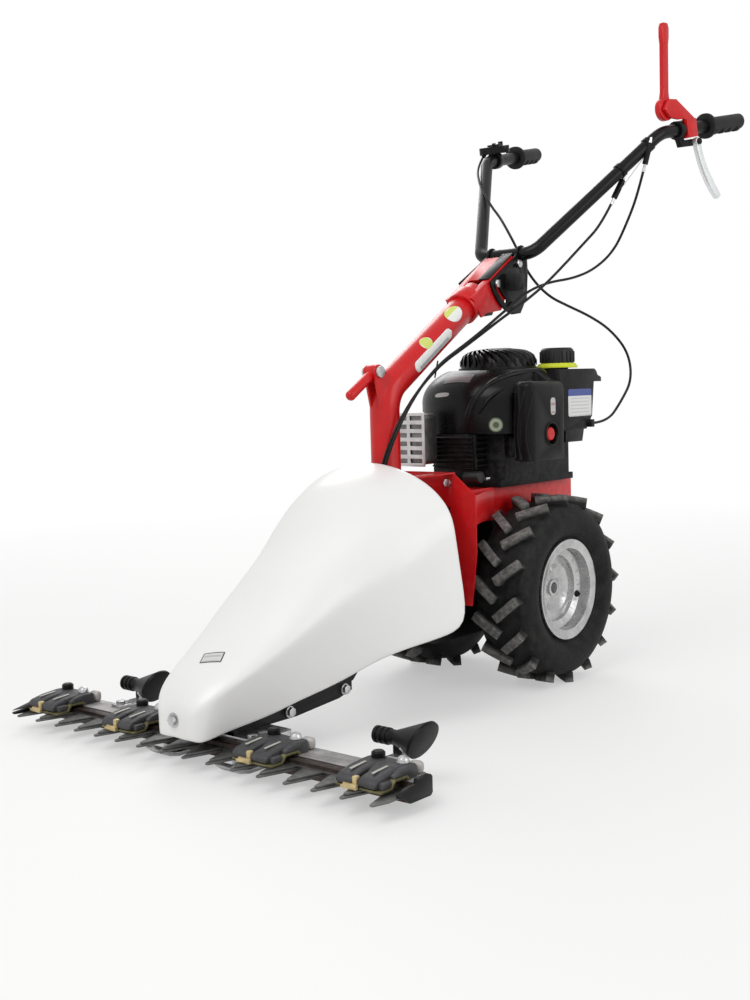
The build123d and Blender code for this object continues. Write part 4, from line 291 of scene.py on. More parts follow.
def discFinish():
    # blank round label: pale ring, darker centre and rim
    f = Finish("discBlank")
    u, v = f.axes("xy", f.node("ShaderNodeTexCoord", output="UV"))
    radius = ((u - 0.5) * (u - 0.5) + (v - 0.5) * (v - 0.5)).maths("SQRT") * 2
    pale = f.tint(f.noise(260, 2), (0.40, 0.44, 0.34), (0.26, 0.31, 0.21))
    shade = f.tint(radius.above(0.42) * radius.below(0.84), (0.075, 0.105, 0.050), pale)
    rough = f.range(f.noise(220, 3), 0.3, 0.7, 0.30, 0.42)
    return f.done(shade, rough, 0.0, f.bump(f.noise(500, 2), 0.0001, 0.2))


finishes = {
    "red": paint("machineRed", (0.60, 0.0060, 0.0085)),
    "black": paint("frameBlack", (0.0030, 0.0030, 0.0033), 0.34, dustShare=0.015, coat=0.08, gloss=0.2),
    "silver": metal("rimSilver", (0.66, 0.66, 0.66), 0.26, 0.66, 26, 0.85, 0.0002, 0.3),
    "cover": coverFinish(),
    "plastic": plastic("blackPlastic", (0.0036, 0.0036, 0.0039), 0.38, gloss=0.18),
    "gloss": plastic("engineShroud", (0.0032, 0.0032, 0.0035), 0.28, 0.15, 1100, 0.008, 0.22),
    "tank": plastic("tankPlastic", (0.0060, 0.0060, 0.0064), 0.36, 0.25),
    "blockBlack": plastic("blockCasting", (0.0032, 0.0032, 0.0034), 0.55, 0.6, 500, 0.03),
    "grip": plastic("gripRubber", (0.0095, 0.0095, 0.0100), 0.60, 0.6, 900, 0.06, 0.3),
    "cable": plastic("cableSheath", (0.0060, 0.0060, 0.0060), 0.34, 0.05),
    "primer": plastic("primerRubber", (0.55, 0.010, 0.012), 0.36, 0.1, gloss=0.5),
    "cap": capFinish(),
    "plate": labelFinish("plateBlank", (0.120, 0.094, 0.092), (0.27, 0.15, 0.15), 3,
                         border=(0.010, 0.009, 0.009)),
    "coverLabel": labelFinish("coverLabelBlank", (0.62, 0.62, 0.60), (0.30, 0.30, 0.30), 2,
                              border=(0.02, 0.02, 0.02)),
    "tankLabel": labelFinish("tankLabelBlank", (0.74, 0.74, 0.73), (0.40, 0.41, 0.43), 8,
                             header=(0.055, 0.085, 0.30)),
    "decal": labelFinish("decalBlank", (0.80, 0.81, 0.78), (0.10, 0.13, 0.16), 1),
    "badge": labelFinish("badgeBlank", (0.42, 0.42, 0.41), None, 0, border=(0.05, 0.05, 0.05)),
    "shield": labelFinish("shieldBlank", (0.50, 0.49, 0.48), (0.30, 0.02, 0.02), 2),
    "disc": discFinish(),
    "decalHalf": labelFinish("decalHalfBlank", (0.80, 0.81, 0.78), None, 0, (0.60, 0.68, 0.16), 0.42),
    "decalGreen": labelFinish("decalGreenBlank", (0.60, 0.68, 0.16), None, 0, border=(0.78, 0.79, 0.74)),
    "zinc": metal("zincPlate", (0.62, 0.62, 0.63), 0.30, 0.62, 55),
    "cast": metal("darkCasting", (0.046, 0.046, 0.050), 0.48, 0.6, 90, 0.3, 0.0008, 0.4),
    "wearEdge": metal("wearSteel", (0.150, 0.135, 0.055), 0.48, 0.5, 85, 0.5),
    "bossGrey": plastic("bossGrey", (0.020, 0.020, 0.021), 0.38, 0.3, gloss=0.4),
    "tongue": metal("tongueBrass", (0.62, 0.46, 0.23), 0.40, 0.62, 80, 0.5),
    # pale strips along the holder fingers: their pale colour is a painted highlight along each finger's slot
    "slotPaintedHighlight": metal("slotPaintedHighlight", (0.42, 0.41, 0.37), 0.5, 0.7, 90, 0.3),
    "tail": metal("tailGrey", (0.40, 0.385, 0.37), 0.5, 0.7, 60, 0.25),
    "steel": bladeFinish(),
    "beam": beamFinish(),
    "bright": metal("leverAlloy", (0.90, 0.93, 0.94), 0.30, 0.90, 30, 0.55),
    "guard": metal("guardBright", (0.80, 0.80, 0.79), 0.34, 0.72, 40, 0.6),
    "muffler": metal("mufflerSteel", (0.26, 0.255, 0.25), 0.40, 0.45, 60, 0.9),
    "tyre": tyreFinish(),
}
print("finishes ready")

# tools for the pieces


def meshPiece(work, name, finishName):
    # the object made of a finished bmesh
    mesh = bpy.data.meshes.new(name)
    work.to_mesh(mesh)
    work.free()
    mesh.materials.append(finishes[finishName])
    piece = bpy.data.objects.new(name, mesh)
    bpy.context.scene.collection.objects.link(piece)
    return piece


def keepPiece(work, name, finishName, body, smoothAngle=38, clean=True):
    # turns a bmesh into a finished object on its body
    if clean:
        cleanUp(work)
    for face in work.faces:
        face.smooth = True
    for edge in work.edges:
        edge.smooth = len(edge.link_faces) == 2 and edge.calc_face_angle(0) < math.radians(smoothAngle)
    piece = meshPiece(work, name, finishName)
    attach(piece, body)
    return piece


def cleanUp(work):
    bmesh.ops.remove_doubles(work, verts=work.verts, dist=1e-6)
    bmesh.ops.recalc_face_normals(work, faces=work.faces)


def vertsIn(grown):
    # the points that an operator made
    return [item for item in grown["geom"] if isinstance(item, bmesh.types.BMVert)]


def addMesh(work, other):
    # moves everything in the other bmesh into this one
    mesh = bpy.data.meshes.new("passing")
    other.to_mesh(mesh)
    other.free()
    work.from_mesh(mesh)
    bpy.data.meshes.remove(mesh)


def roundOff(work, verts, width, steps=2):
    edges = {edge for vert in verts for edge in vert.link_edges}
    bmesh.ops.bevel(work, geom=list(edges), offset=width, offset_type="OFFSET", segments=steps, profile=0.5,
                    affect="EDGES", clamp_overlap=True, material=-1)


def addBlock(work, centre, size, turn=(0, 0, 0), edge=0.0, steps=2):
    # sizes in metres, centre a Vector
    where = Matrix.LocRotScale(centre, Euler(turn), Vector(size))
    made = bmesh.ops.create_cube(work, size=1, matrix=where)
    if edge:
        roundOff(work, made["verts"], edge, steps)


def addRod(work, start, end, radius, endRadius=None, sides=24):
    run = end - start
    where = Matrix.LocRotScale((start + end) / 2, run.to_track_quat("Z", "Y"), None)
    bmesh.ops.create_cone(work, cap_ends=True, cap_tris=False, segments=sides, radius1=radius,
                          radius2=radius if endRadius is None else endRadius, depth=run.length, matrix=where)


def addSlab(work, outline, home, thickness, edge=0.0, steps=2):
    # the outline lies in the home matrix's first two axes and grows along its third
    corners = [work.verts.new(home @ Vector((a, b, 0))) for a, b in outline]
    face = work.faces.new(corners)
    grown = bmesh.ops.extrude_face_region(work, geom=[face])
    raised = vertsIn(grown)
    bmesh.ops.translate(work, verts=raised, vec=home.to_3x3() @ Vector((0, 0, thickness)))
    if edge:
        roundOff(work, corners + raised, edge, steps)


def addTurned(work, profile, centre, axis=Vector((0, 0, 1)), steps=48):
    # profile of (radius, height) pairs turned once round the axis
    side = axis.orthogonal().normalized()
    chain = [work.verts.new(centre + side * radius + axis * high) for radius, high in profile]
    links = [work.edges.new(pair) for pair in zip(chain, chain[1:])]
    bmesh.ops.spin(work, geom=chain + links, cent=centre, axis=axis, angle=math.tau, steps=steps,
                   use_merge=True, use_duplicate=False)


def sideHome(x):
    # first axis runs rearward, second up, third toward +X; x in metres
    return Matrix(((0, 0, 1, x), (1, 0, 0, axleY), (0, 1, 0, 0), (0, 0, 0, 1)))


def inMetres(outline):
    return [(a / 1000, b / 1000) for a, b in outline]


# dressed nodes: a merged copy of each with softened edges

nodeFinish = {
    "arm_left": ("black", 0.0008), "arm_right": ("black", 0.0008), "axle": ("zinc", 0.0006),
    "bar_beam": ("beam", 0.0006), "bar_knob_left": ("plastic", 0.0012), "bar_knob_right": ("plastic", 0.0012),
    "blower_housing": ("gloss", 0.004), "cable_hangers": ("plastic", 0.0008),
    "clutch_lever": ("red", 0.0022), "cover_strap": ("red", 0.0005), "crankshaft": ("steel", 0.0),
    "drive_housing": ("black", 0.003), "drive_lever": ("bright", 0.0022), "end_shoe_left": ("black", 0.0008),
    "end_shoe_right": ("black", 0.0008), "engine_block": ("blockBlack", 0.001),
    "engine_deck": ("red", 0.0015),
    "filter_cover": ("plastic", 0.0015), "frame_bolts": ("zinc", 0.0005),
    "front_panel": ("red", 0.0007), "fuel_cap": ("cap", 0.0006), "fuel_tank": ("tank", 0.0025),
    "gearbox": ("black", 0.003), "grip_left": ("grip", 0.001), "grip_right": ("grip", 0.001),
    "handlebar": ("black", 0.0), "handlebar_yoke": ("black", 0.0010), "head_bolts": ("zinc", 0.0006),
    "head_bracket": ("red", 0.001), "knife_crank": ("steel", 0.0), "knob_brackets": ("zinc", 0.0006),
    "lever_bracket": ("red", 0.0018), "lever_perch": ("plastic", 0.0012), "lower_blade": ("steel", 0.0003),
    "mount_plate": ("zinc", 0.0006), "muffler": ("muffler", 0.001), "muffler_guard": ("guard", 0.0006),
    "primer_bulb": ("primer", 0.0006), "rim_left": ("silver", 0.0005),
    "rim_right": ("silver", 0.0005), "selector_lever": ("red", 0.001), "skid_left": ("zinc", 0.0008),
    "skid_right": ("zinc", 0.0008), "steering_column": ("red", 0.001), "throttle_housing": ("gloss", 0.0055),
    "throttle_lever": ("plastic", 0.0010), "tyre_left": ("tyre", 0.0015), "tyre_right": ("tyre", 0.0015),
    "upper_blade": ("steel", 0.0003),
}
bodyOf = {}
for bodyName, members in frame["record"]["behaviour"]["bodies"].items():
    for member in members:
        bodyOf[member] = bodyName


dressing = {"merge": 2e-6, "flat": math.radians(0.6), "sharp": math.radians(38)}


def dressNode(nodeName, finishName, edgeWidth):
    work = bmesh.new()
    work.from_mesh(frame["nodes"][nodeName].data)
    bmesh.ops.remove_doubles(work, verts=work.verts, dist=dressing["merge"])
    bmesh.ops.dissolve_limit(work, angle_limit=dressing["flat"], verts=work.verts, edges=work.edges)
    if edgeWidth:
        sharp = [e for e in work.edges if len(e.link_faces) == 2 and e.calc_face_angle(0) > dressing["sharp"]]
        bmesh.ops.bevel(work, geom=sharp, offset=edgeWidth, offset_type="OFFSET", segments=2, profile=0.5,
                        affect="EDGES", clamp_overlap=True, material=-1)
    piece = keepPiece(work, nodeName + "_dressed", finishName, bodyOf[nodeName], clean=False)
    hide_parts(nodeName)
    return piece


dressed = {name: dressNode(name, *facts) for name, facts in nodeFinish.items()}
print("nodes dressed")

# control cables

cableRadius = 0.0025
cableRoutes = {
    "clutch": (
        (150, 209, 872), (139.1, 181.9, 823.8), (123.1, 141.7, 785.7), (105, 103.3, 746.7),
        (86.9, 63.5, 709.1),
        (72.9, 17.1, 678.1), (59.7, -31.6, 650.2), (53.3, -82.2, 623.4), (48.6, -133.5, 597.5),
        (44.8, -185.7, 573.3), (40.5, -232.9, 540.7), (35.9, -276, 499.2), (28, -310, 448.2),
        (14, -325, 391.6), (13, -326, 334.2),
    ),
    "drive": (
        (186, 262, 935), (172.3, 258, 880.6), (147.3, 259.9, 830), (125.3, 249.3, 780.1),
        (106.4, 209.6, 745.4), (91.1, 158.6, 727), (73.8, 105.5, 719.3), (65.7, 52.2, 703.6),
        (66.4, 1.3, 679.3), (64.4, -48.5, 652.9),
        (58.3, -96.7, 624.1), (53.9, -146.7, 598.2), (50.8, -197.5, 573.8), (46.6, -243, 539.4),
        (41.5, -281, 497), (34.5, -312, 446), (21, -325.5, 390.4), (20, -326, 334.2),
    ),
    "throttle": (
        (-220.9, 314, 1011.2), (-209.4, 273.9, 982.5), (-166, 220, 940), (-125, 185, 905),
        (-95, 165, 878), (-66.4, 148.6, 855.6), (-28.7, 117.9, 825.5), (6.9, 97.2, 786.4),
        (33.2, 94.7, 736), (54.7, 125.3, 695.9), (67.7, 177.8, 677.2), (81.6, 230.3, 659.3),
        (99.9, 276.8, 632.7), (122.8, 304.1, 588.6), (133.9, 296.8, 535.1), (134.2, 256, 495.7),
        (134, 203, 457), (134, 149, 457),
    ),
}
cableBends = {
    "clutch": ((53.3, -82.2, 623.4), (86.9, 63.5, 709.1)),
    "drive": ((53.9, -146.7, 598.2), (91.1, 158.6, 727)),
    "throttle": ((122.8, 304.1, 588.6), (6.9, 97.2, 786.4)),
}


def tubeOn(route, radius, name):
    # a tube mesh along one smooth spline
    line = bpy.data.curves.new(name + "Line", "CURVE")
    line.dimensions = "3D"
    line.bevel_depth = radius
    line.bevel_resolution = 3
    line.use_fill_caps = True
    spline = line.splines.new("NURBS")
    spline.points.add(len(route) - 1)
    for point, place in zip(spline.points, route):
        point.co = (*spot(*place), 1)
    spline.use_endpoint_u = True
    spline.order_u = 3
    spline.resolution_u = 8
    holder = bpy.data.objects.new(name + "Holder", line)
    bpy.context.scene.collection.objects.link(holder)
    bpy.context.view_layer.update()
    mesh = bpy.data.meshes.new_from_object(holder.evaluated_get(bpy.context.evaluated_depsgraph_get()))
    bpy.data.objects.remove(holder)
    work = bmesh.new()
    work.from_mesh(mesh)
    bpy.data.meshes.remove(mesh)
    return work


def looseMesh(work, name, finishName):
    # an object that rides on nothing yet
    cleanUp(work)
    for face in work.faces:
        face.smooth = len(face.verts) == 4
    return meshPiece(work, name, finishName)


for cableName, route in cableRoutes.items():
    piece = looseMesh(tubeOn(route, cableRadius, cableName), cableName + "_cable_sheath", "cable")
    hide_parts(cableName + "_cable")
    low, high = cableBends[cableName]
    spot(*low)
    spot(*high)
    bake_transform(piece)

ferrule = {"radius": 0.0036, "length": 0.014, "tab": 0.040, "tabLength": 0.010, "tabEnd": 0.0016,
           "wire": 0.0007, "wireFrom": (152, 213, 876), "wireTo": (186, 262, 950)}
work = bmesh.new()
for cableName in ("clutch", "drive"):
    first, second = [spot(*place) for place in cableRoutes[cableName][:2]]
    up = (first - second).normalized()
    addRod(work, first - up * ferrule["length"], first, ferrule["radius"], ferrule["radius"] * 0.8)
    tabStart = first + up * ferrule["tab"]
    addRod(work, tabStart, tabStart + up * ferrule["tabLength"], ferrule["radius"], ferrule["tabEnd"])
addRod(work, spot(*ferrule["wireFrom"]), spot(*ferrule["wireTo"]), ferrule["wire"], sides=8)
keepPiece(work, "cable_ferrules", "zinc", "handlebar_group")
print("cables laid")

# front cover: one moulded shell

# distance ahead of the axle, foot half width and height, shoulder half width and height, crown height
coverStations = (
    (332, 200, 155, 174, 324, 414), (380, 176, 141, 162, 290, 401), (424, 152, 132, 151, 256, 383),
    (465, 122, 117, 131, 242, 350), (510, 101, 95, 113, 220, 309), (560, 90, 83, 105, 197, 267),
    (600, 81, 75, 98, 178, 234), (640, 70, 63, 88, 157, 200), (690, 61, 56, 76, 133, 163),
    (725, 54, 51, 66, 118, 140), (750, 50, 46, 55, 103, 121), (762, 43, 44, 43, 90, 106),
    (769, 33, 48, 34, 84, 96),
)
coverShell = {"skin": 0.0032, "ridge": 0.16, "levels": 2,
              "tip": (0, -770, 46), "tipWide": 0.5, "tipHigh": 0.72}


def coverLine(ahead, foot, footZ, shoulder, shoulderZ, crown):
    # half a station from the foot up to the crown: the ridge is eased by a point on each side of it
    rise = crown - shoulderZ
    ease = coverShell["ridge"]
    side = [(foot, footZ), (foot + (shoulder - foot) * 0.45, footZ + (shoulderZ - footZ) * 0.45),
            (shoulder + (foot - shoulder) * ease, shoulderZ + (footZ - shoulderZ) * ease),
            (shoulder * 0.995, shoulderZ + rise * 0.05), (shoulder * 0.90, shoulderZ + rise * 0.36),
            (shoulder * 0.70, shoulderZ + rise * 0.66), (shoulder * 0.45, shoulderZ + rise * 0.86),
            (shoulder * 0.2, shoulderZ + rise * 0.97), (0, crown)]
    whole = side + [(-x, z) for x, z in reversed(side[:-1])]
    return [spot(x, -ahead, z) for x, z in whole]


work = bmesh.new()
lines = [coverLine(*station) for station in coverStations]
row = [work.verts.new(place) for place in lines[0]]
links = [work.edges.new(pair) for pair in zip(row, row[1:])]
for line in lines[1:]:
    grown = bmesh.ops.extrude_edge_only(work, edges=links)
    fresh = set(vertsIn(grown))
    nextRow = [next(edge.other_vert(vert) for edge in vert.link_edges if edge.other_vert(vert) in fresh)
               for vert in row]
    for vert, place in zip(nextRow, line):
        vert.co = place
    links = [item for item in grown["geom"] if isinstance(item, bmesh.types.BMEdge)
             and item.verts[0] in fresh and item.verts[1] in fresh]
    row = nextRow
# closed nose
grown = bmesh.ops.extrude_edge_only(work, edges=links)
fresh = vertsIn(grown)
tip = spot(*coverShell["tip"])
for vert in fresh:
    vert.co = (vert.co.x * coverShell["tipWide"], tip.y, tip.z + (vert.co.z - tip.z) * coverShell["tipHigh"])
bmesh.ops.contextual_create(work, geom=fresh)
piece = keepPiece(work, "front_cover_shell", "cover", bodyOf["front_cover"], smoothAngle=180)
wall = piece.modifiers.new("wall", "SOLIDIFY")
wall.thickness = coverShell["skin"]
wall.offset = -1
soft = piece.modifiers.new("soft", "SUBSURF")
soft.levels = coverShell["levels"]
soft.render_levels = coverShell["levels"]
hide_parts("front_cover")
dressed["front_cover"] = piece
print("cover moulded")

# recoil starter's dome with its swept vanes

domeFacts = {"centre": (0, 40, 560), "vanes": 27, "vaneWide": 0.0040, "from": 0.028, "to": 0.0715,
             "twist": 0.95, "floorDrop": 0.0065, "vaneDrop": 0.0005, "vaneRoot": 0.004,
             "hub": ((0.0, 0.0400), (0.0222, 0.0400), (0.0280, 0.0390), (0.0290, 0.0330)),
             "foot": ((0.0740, 0.0045), (0.0740, 0.0), (0.0700, 0.0), (0.0, 0.0))}
domeLine = ((0.0, 0.0400), (0.0222, 0.0400), (0.0400, 0.0382), (0.0518, 0.0360), (0.0620, 0.0310),
            (0.0688, 0.0250), (0.0722, 0.0150), (0.0738, 0.0070))


def domeHeight(radius):
    for (r0, z0), (r1, z1) in zip(domeLine, domeLine[1:]):
        if radius <= r1:
            return z0 + (z1 - z0) * (radius - r0) / (r1 - r0)
    return domeLine[-1][1]


work = bmesh.new()
centre = spot(*domeFacts["centre"])
drop = domeFacts["floorDrop"]
under = [(r * 0.955, z - drop) for r, z in domeLine[2:]]
addTurned(work, [*domeFacts["hub"], *under, *domeFacts["foot"]], centre)
vane = bmesh.new()
bmesh.ops.create_cube(vane, size=1)
lengthwise = [e for e in vane.edges if abs(e.verts[0].co.x - e.verts[1].co.x) > 0.5]
bmesh.ops.subdivide_edges(vane, edges=lengthwise, cuts=7, use_grid_fill=True)
for vert in vane.verts:
    share = vert.co.x + 0.5
    radius = domeFacts["from"] + (domeFacts["to"] - domeFacts["from"]) * share
    turn = domeFacts["twist"] * share + vert.co.y * domeFacts["vaneWide"] * (1 + share) / radius / 1.5
    high = domeHeight(radius) - (domeFacts["vaneDrop"] if vert.co.z > 0 else drop + domeFacts["vaneRoot"])
    vert.co = centre + Vector((radius * math.cos(turn), radius * math.sin(turn), high))
lastTurn = math.tau * (1 - 1 / domeFacts["vanes"])
bmesh.ops.spin(vane, geom=vane.verts[:] + vane.edges[:] + vane.faces[:], cent=centre, axis=(0, 0, 1),
               angle=lastTurn, steps=domeFacts["vanes"] - 1, use_duplicate=True)
addMesh(work, vane)
piece = keepPiece(work, "recoil_dome_vaned", "gloss", bodyOf["recoil_dome"], 30)
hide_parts("recoil_dome")
dressed["recoil_dome"] = piece
print("dome done")

# blade holders: two cast fingers over a wear plate, with a brass tongue between them

holderFacts = {
    "centres": (-345, -152, 138, 331), "fingers": ((-37, -8), (0, 30)), "round": 0.0034,
    "bridgeLeft": -37, "bridgeWide": 0.074, "bridgeRound": 0.0018,
    "shoulders": (((-34, -739, 38.8), (0.008, 0.024, 0.009)), ((32.5, -738, 38.8), (0.009, 0.018, 0.009))),
    "shoulderRound": 0.0015, "plateHalf": 38.5, "plateRound": 0.0004,
    "slots": ((-22, -726, 52.9), (15, -726, 52.9)), "slotSize": (0.0042, 0.030, 0.0014),
    "slotTilt": math.radians(4.6), "slotRound": 0.0006,
    "tail": (27, -668, 44.5), "tailSize": (0.020, 0.014, 0.017), "tailTurn": 0.15, "tailRound": 0.0060,
    "brightNut": (21, -687, 54.0), "darkNut": (-21, -687, 54.0),
}
fingerLine = ((-750, 34.2), (-755, 37), (-754.5, 43.0), (-748, 47.2), (-728, 51.6), (-700, 54.2),
              (-688, 54.2), (-688, 42.6), (-724, 42.6), (-731, 34.2))
bridgeLine = ((-724, 42.6), (-722, 48.0), (-714, 51), (-698, 53.8), (-680, 53.8), (-677.5, 50),
              (-677.5, 36.2), (-699.2, 36.2), (-699.2, 42.6))
plateLine = ((-752.5, 31.1), (-729.7, 31.1), (-722.7, 39.5), (-702.5, 39.5), (-699.4, 36.3), (-693.5, 36.3),
             (-699.0, 42.9), (-724.4, 42.9), (-731.4, 34.1), (-752.5, 34.1))
# tongue: a low lip that runs to the left, an upright ear and the foot behind them
tongueFacts = {
    "lip": ((-24, 31.4), (2, 31.4), (2, 37.0), (-1, 39.0), (-15, 37.8), (-24, 35.6)),
    "y": -759.5, "thick": 0.006,
    "ear": (-4, -751, 41.5), "earSize": (0.0070, 0.008, 0.013), "earRound": 0.0012,
    "foot": (-11, -749, 36.4), "footSize": (0.022, 0.016, 0.0035), "round": 0.001,
}
# nuts on the studs: domed and bright on the right, tall caps and dark on the left
brightDome = ((0.0, 0.0092), (0.0032, 0.0088), (0.0060, 0.0074), (0.0080, 0.0048), (0.0084, 0.0))
darkCap = ((0.0, 0.0089), (0.0068, 0.0089), (0.0094, 0.0066), (0.0094, 0.0))


def frontHome(y):
    # first axis along the bar, second up, third rearward
    return Matrix(((1, 0, 0, 0), (0, 0, 1, y / 1000 + axleY), (0, 1, 0, 0), (0, 0, 0, 1)))


def beside(middle, place):
    # a place counted from a holder's middle
    x, y, z = place
    return spot(middle + x, y, z)


for number, middle in enumerate(holderFacts["centres"], start=1):
    work = bmesh.new()
    for low, high in holderFacts["fingers"]:
        addSlab(work, inMetres(fingerLine), sideHome((middle + low) / 1000), (high - low) / 1000,
                holderFacts["round"], 3)
    addSlab(work, inMetres(bridgeLine), sideHome((middle + holderFacts["bridgeLeft"]) / 1000),
            holderFacts["bridgeWide"], holderFacts["bridgeRound"])
    for place, size in holderFacts["shoulders"]:
        addBlock(work, beside(middle, place), size, edge=holderFacts["shoulderRound"])
    piece = keepPiece(work, f"blade_holder_{number}_cast", "cast", bodyOf[f"blade_holder_{number}"], 32)
    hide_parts(f"blade_holder_{number}")

slots, tongues, plates, tails, nuts, darkNuts = [bmesh.new() for trim in range(6)]
for middle in holderFacts["centres"]:
    # a pale strip along each finger's top, coloured as a painted highlight
    for place in holderFacts["slots"]:
        addBlock(slots, beside(middle, place), holderFacts["slotSize"], (holderFacts["slotTilt"], 0, 0),
                 holderFacts["slotRound"])
    lip = inMetres([(middle + x, z) for x, z in tongueFacts["lip"]])
    addSlab(tongues, lip, frontHome(tongueFacts["y"]), tongueFacts["thick"], tongueFacts["round"])
    addBlock(tongues, beside(middle, tongueFacts["ear"]), tongueFacts["earSize"],
             edge=tongueFacts["earRound"])
    addBlock(tongues, beside(middle, tongueFacts["foot"]), tongueFacts["footSize"], edge=tongueFacts["round"])
    addSlab(plates, inMetres(plateLine), sideHome((middle - holderFacts["plateHalf"]) / 1000),
            holderFacts["plateHalf"] / 500, holderFacts["plateRound"])
    addBlock(tails, beside(middle, holderFacts["tail"]), holderFacts["tailSize"],
             (0, 0, holderFacts["tailTurn"]), holderFacts["tailRound"], 3)
    addTurned(nuts, brightDome, beside(middle, holderFacts["brightNut"]), steps=24)
    addTurned(darkNuts, darkCap, beside(middle, holderFacts["darkNut"]), steps=24)
piece = keepPiece(plates, "wear_plates", "wearEdge", bodyOf["wear_pads"])
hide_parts("wear_pads")
for work, name, finishName in ((slots, "holder_slots", "slotPaintedHighlight"), (tongues, "holder_tongues", "tongue"),
                               (tails, "holder_tails", "tail"), (nuts, "domed_nuts", "zinc"),
                               (darkNuts, "dark_nuts", "plastic")):
    keepPiece(work, name, finishName, "chassis")

# long outer tooth at one end of the bar
toothFacts = {"root": (-384.8, -736, 38.6), "tip": (-391.2, -777.4, 32.8), "radius": 0.0060, "point": 0.0005,
              "heel": (-384.8, -730, 38.6), "heelSize": (0.0125, 0.014, 0.0105), "round": 0.0015}
work = bmesh.new()
addRod(work, spot(*toothFacts["root"]), spot(*toothFacts["tip"]), toothFacts["radius"], toothFacts["point"],
       sides=6)
addBlock(work, spot(*toothFacts["heel"]), toothFacts["heelSize"], edge=toothFacts["round"])
keepPiece(work, "outer_tooth", "cast", "chassis")
print("holders done")

# bent clips under the bell knobs

clipFacts = {"places": (-259, 290), "y": -646, "base": 40, "wide": 0.020, "round": 0.0006,
             "line": ((0, 0), (26, 0), (30, 12), (22, 17), (20, 15), (26, 11), (23, 2.4), (0, 2.4))}
work = bmesh.new()
for x in clipFacts["places"]:
    clip = inMetres([(x + a, clipFacts["base"] + b) for a, b in clipFacts["line"]])
    addSlab(work, clip, frontHome(clipFacts["y"]), clipFacts["wide"], clipFacts["round"])
keepPiece(work, "knob_clips", "zinc", "chassis")

# engine shroud: its raised sweeps, louvres and the rim round the primer

sweeps = {
    "shroud_sweep": {"radius": 0.0062, "route": (
        (26, -96, 478), (34, -98, 494), (44, -93, 511), (56, -79, 528), (66, -64, 539.5),
        (77, -44, 547.5), (87, -24, 552), (94, 0, 554.5), (98, 30, 555.5))},
    "shroud_sweep_low": {"radius": 0.0030, "route": (
        (50, -92, 484), (60, -96, 497), (72, -84, 514), (88, -60, 527), (100, -36, 534), (106, -10, 538))},
}
for name, facts in sweeps.items():
    keepPiece(tubeOn(facts["route"], facts["radius"], name), name, "gloss", "chassis")

louvreFacts = {"left": -38, "right": 50, "y": -112, "low": 384, "high": 446, "slats": 8,
               "backing": 0.006, "backingRound": 0.002, "inset": 0.008, "deep": 0.008, "thick": 0.0032,
               "tilt": math.radians(28), "round": 0.0008}
work = bmesh.new()
tall = louvreFacts["high"] - louvreFacts["low"]
wide = louvreFacts["right"] - louvreFacts["left"]
middle = (louvreFacts["left"] + louvreFacts["right"]) / 2
addBlock(work, spot(middle, louvreFacts["y"] + 9, louvreFacts["low"] + tall / 2),
         (wide / 1000, louvreFacts["backing"], tall / 1000), edge=louvreFacts["backingRound"])
for number in range(louvreFacts["slats"]):
    z = louvreFacts["low"] + tall * (number + 0.5) / louvreFacts["slats"]
    size = (wide / 1000 - louvreFacts["inset"], louvreFacts["deep"], louvreFacts["thick"])
    addBlock(work, spot(middle, louvreFacts["y"] + 4, z), size, (louvreFacts["tilt"], 0, 0),
             louvreFacts["round"])
keepPiece(work, "shroud_louvres", "tank", "chassis")

primerFacts = {"place": (160, -29, 445), "rim": (
    (0.0178, -0.011), (0.0178, 0.0), (0.0190, 0.0016), (0.0208, 0.0012), (0.0212, 0.0), (0.0212, -0.011))}
work = bmesh.new()
addTurned(work, primerFacts["rim"], spot(*primerFacts["place"]), Vector((1, 0, 0)))
keepPiece(work, "primer_rim", "plastic", "chassis", 60)

# curved ribs down the filter cover's front corner
ribFacts = {"radius": 0.0021, "routes": (
    ((122, -82, 519), (113, -71, 497), (106.5, -65, 471),
     (103.5, -61, 446), (105.5, -64, 423), (111, -70, 403)),
    ((149, -94, 520), (141, -94.4, 497), (134, -92.8, 471),
     (129, -89.4, 446), (133, -92.4, 423), (140, -94.2, 403)),
    ((159, -84, 520), (156, -90.4, 497), (151.4, -93.4, 471),
     (149, -94, 446), (150.4, -93.6, 423), (154.8, -91.4, 403)),
)}
work = bmesh.new()
for route in ribFacts["routes"]:
    addMesh(work, tubeOn(route, ribFacts["radius"], "rib"))
keepPiece(work, "filter_ribs", "plastic", "chassis")

# flared ring under the fuel cap
flareFacts = {"place": (95, 92, 560.6), "line": (
    (0.030, 0.0080), (0.0335, 0.0080), (0.0375, 0.0022), (0.0375, 0.0), (0.030, 0.0), (0.030, 0.0080))}
work = bmesh.new()
addTurned(work, flareFacts["line"], spot(*flareFacts["place"]), steps=40)
keepPiece(work, "cap_ring", "cap", "fuel_cap_turn", 20)

# rounded boss low on the crankcase
bossFacts = {"from": (28, -106, 372), "to": (62, -106, 372), "radius": 0.0105, "round": 0.003}
work = bmesh.new()
addRod(work, spot(*bossFacts["from"]), spot(*bossFacts["to"]), bossFacts["radius"])
roundOff(work, work.verts[:], bossFacts["round"], 3)
keepPiece(work, "crankcase_boss", "bossGrey", "chassis")
print("engine trim done")

# steering head trim: the far cheek's edge and a dark cap on the bracket

headStrips = {
    "far_cheek_edge": {"place": (-35.6, 20, 744.4), "size": (0.0032, 0.110, 0.0070), "tilt": 30.4,
                       "round": 0.0008, "body": "handlebar_group"},
    "cheek_cap": {"place": (17.9, 12.8, 747.3), "size": (0.0238, 0.092, 0.0024), "tilt": 33,
                  "round": 0.0007, "body": "chassis"},
}
for name, facts in headStrips.items():
    work = bmesh.new()
    addBlock(work, spot(*facts["place"]), facts["size"], (math.radians(facts["tilt"]), 0, 0), facts["round"])
    keepPiece(work, name, "black", facts["body"])

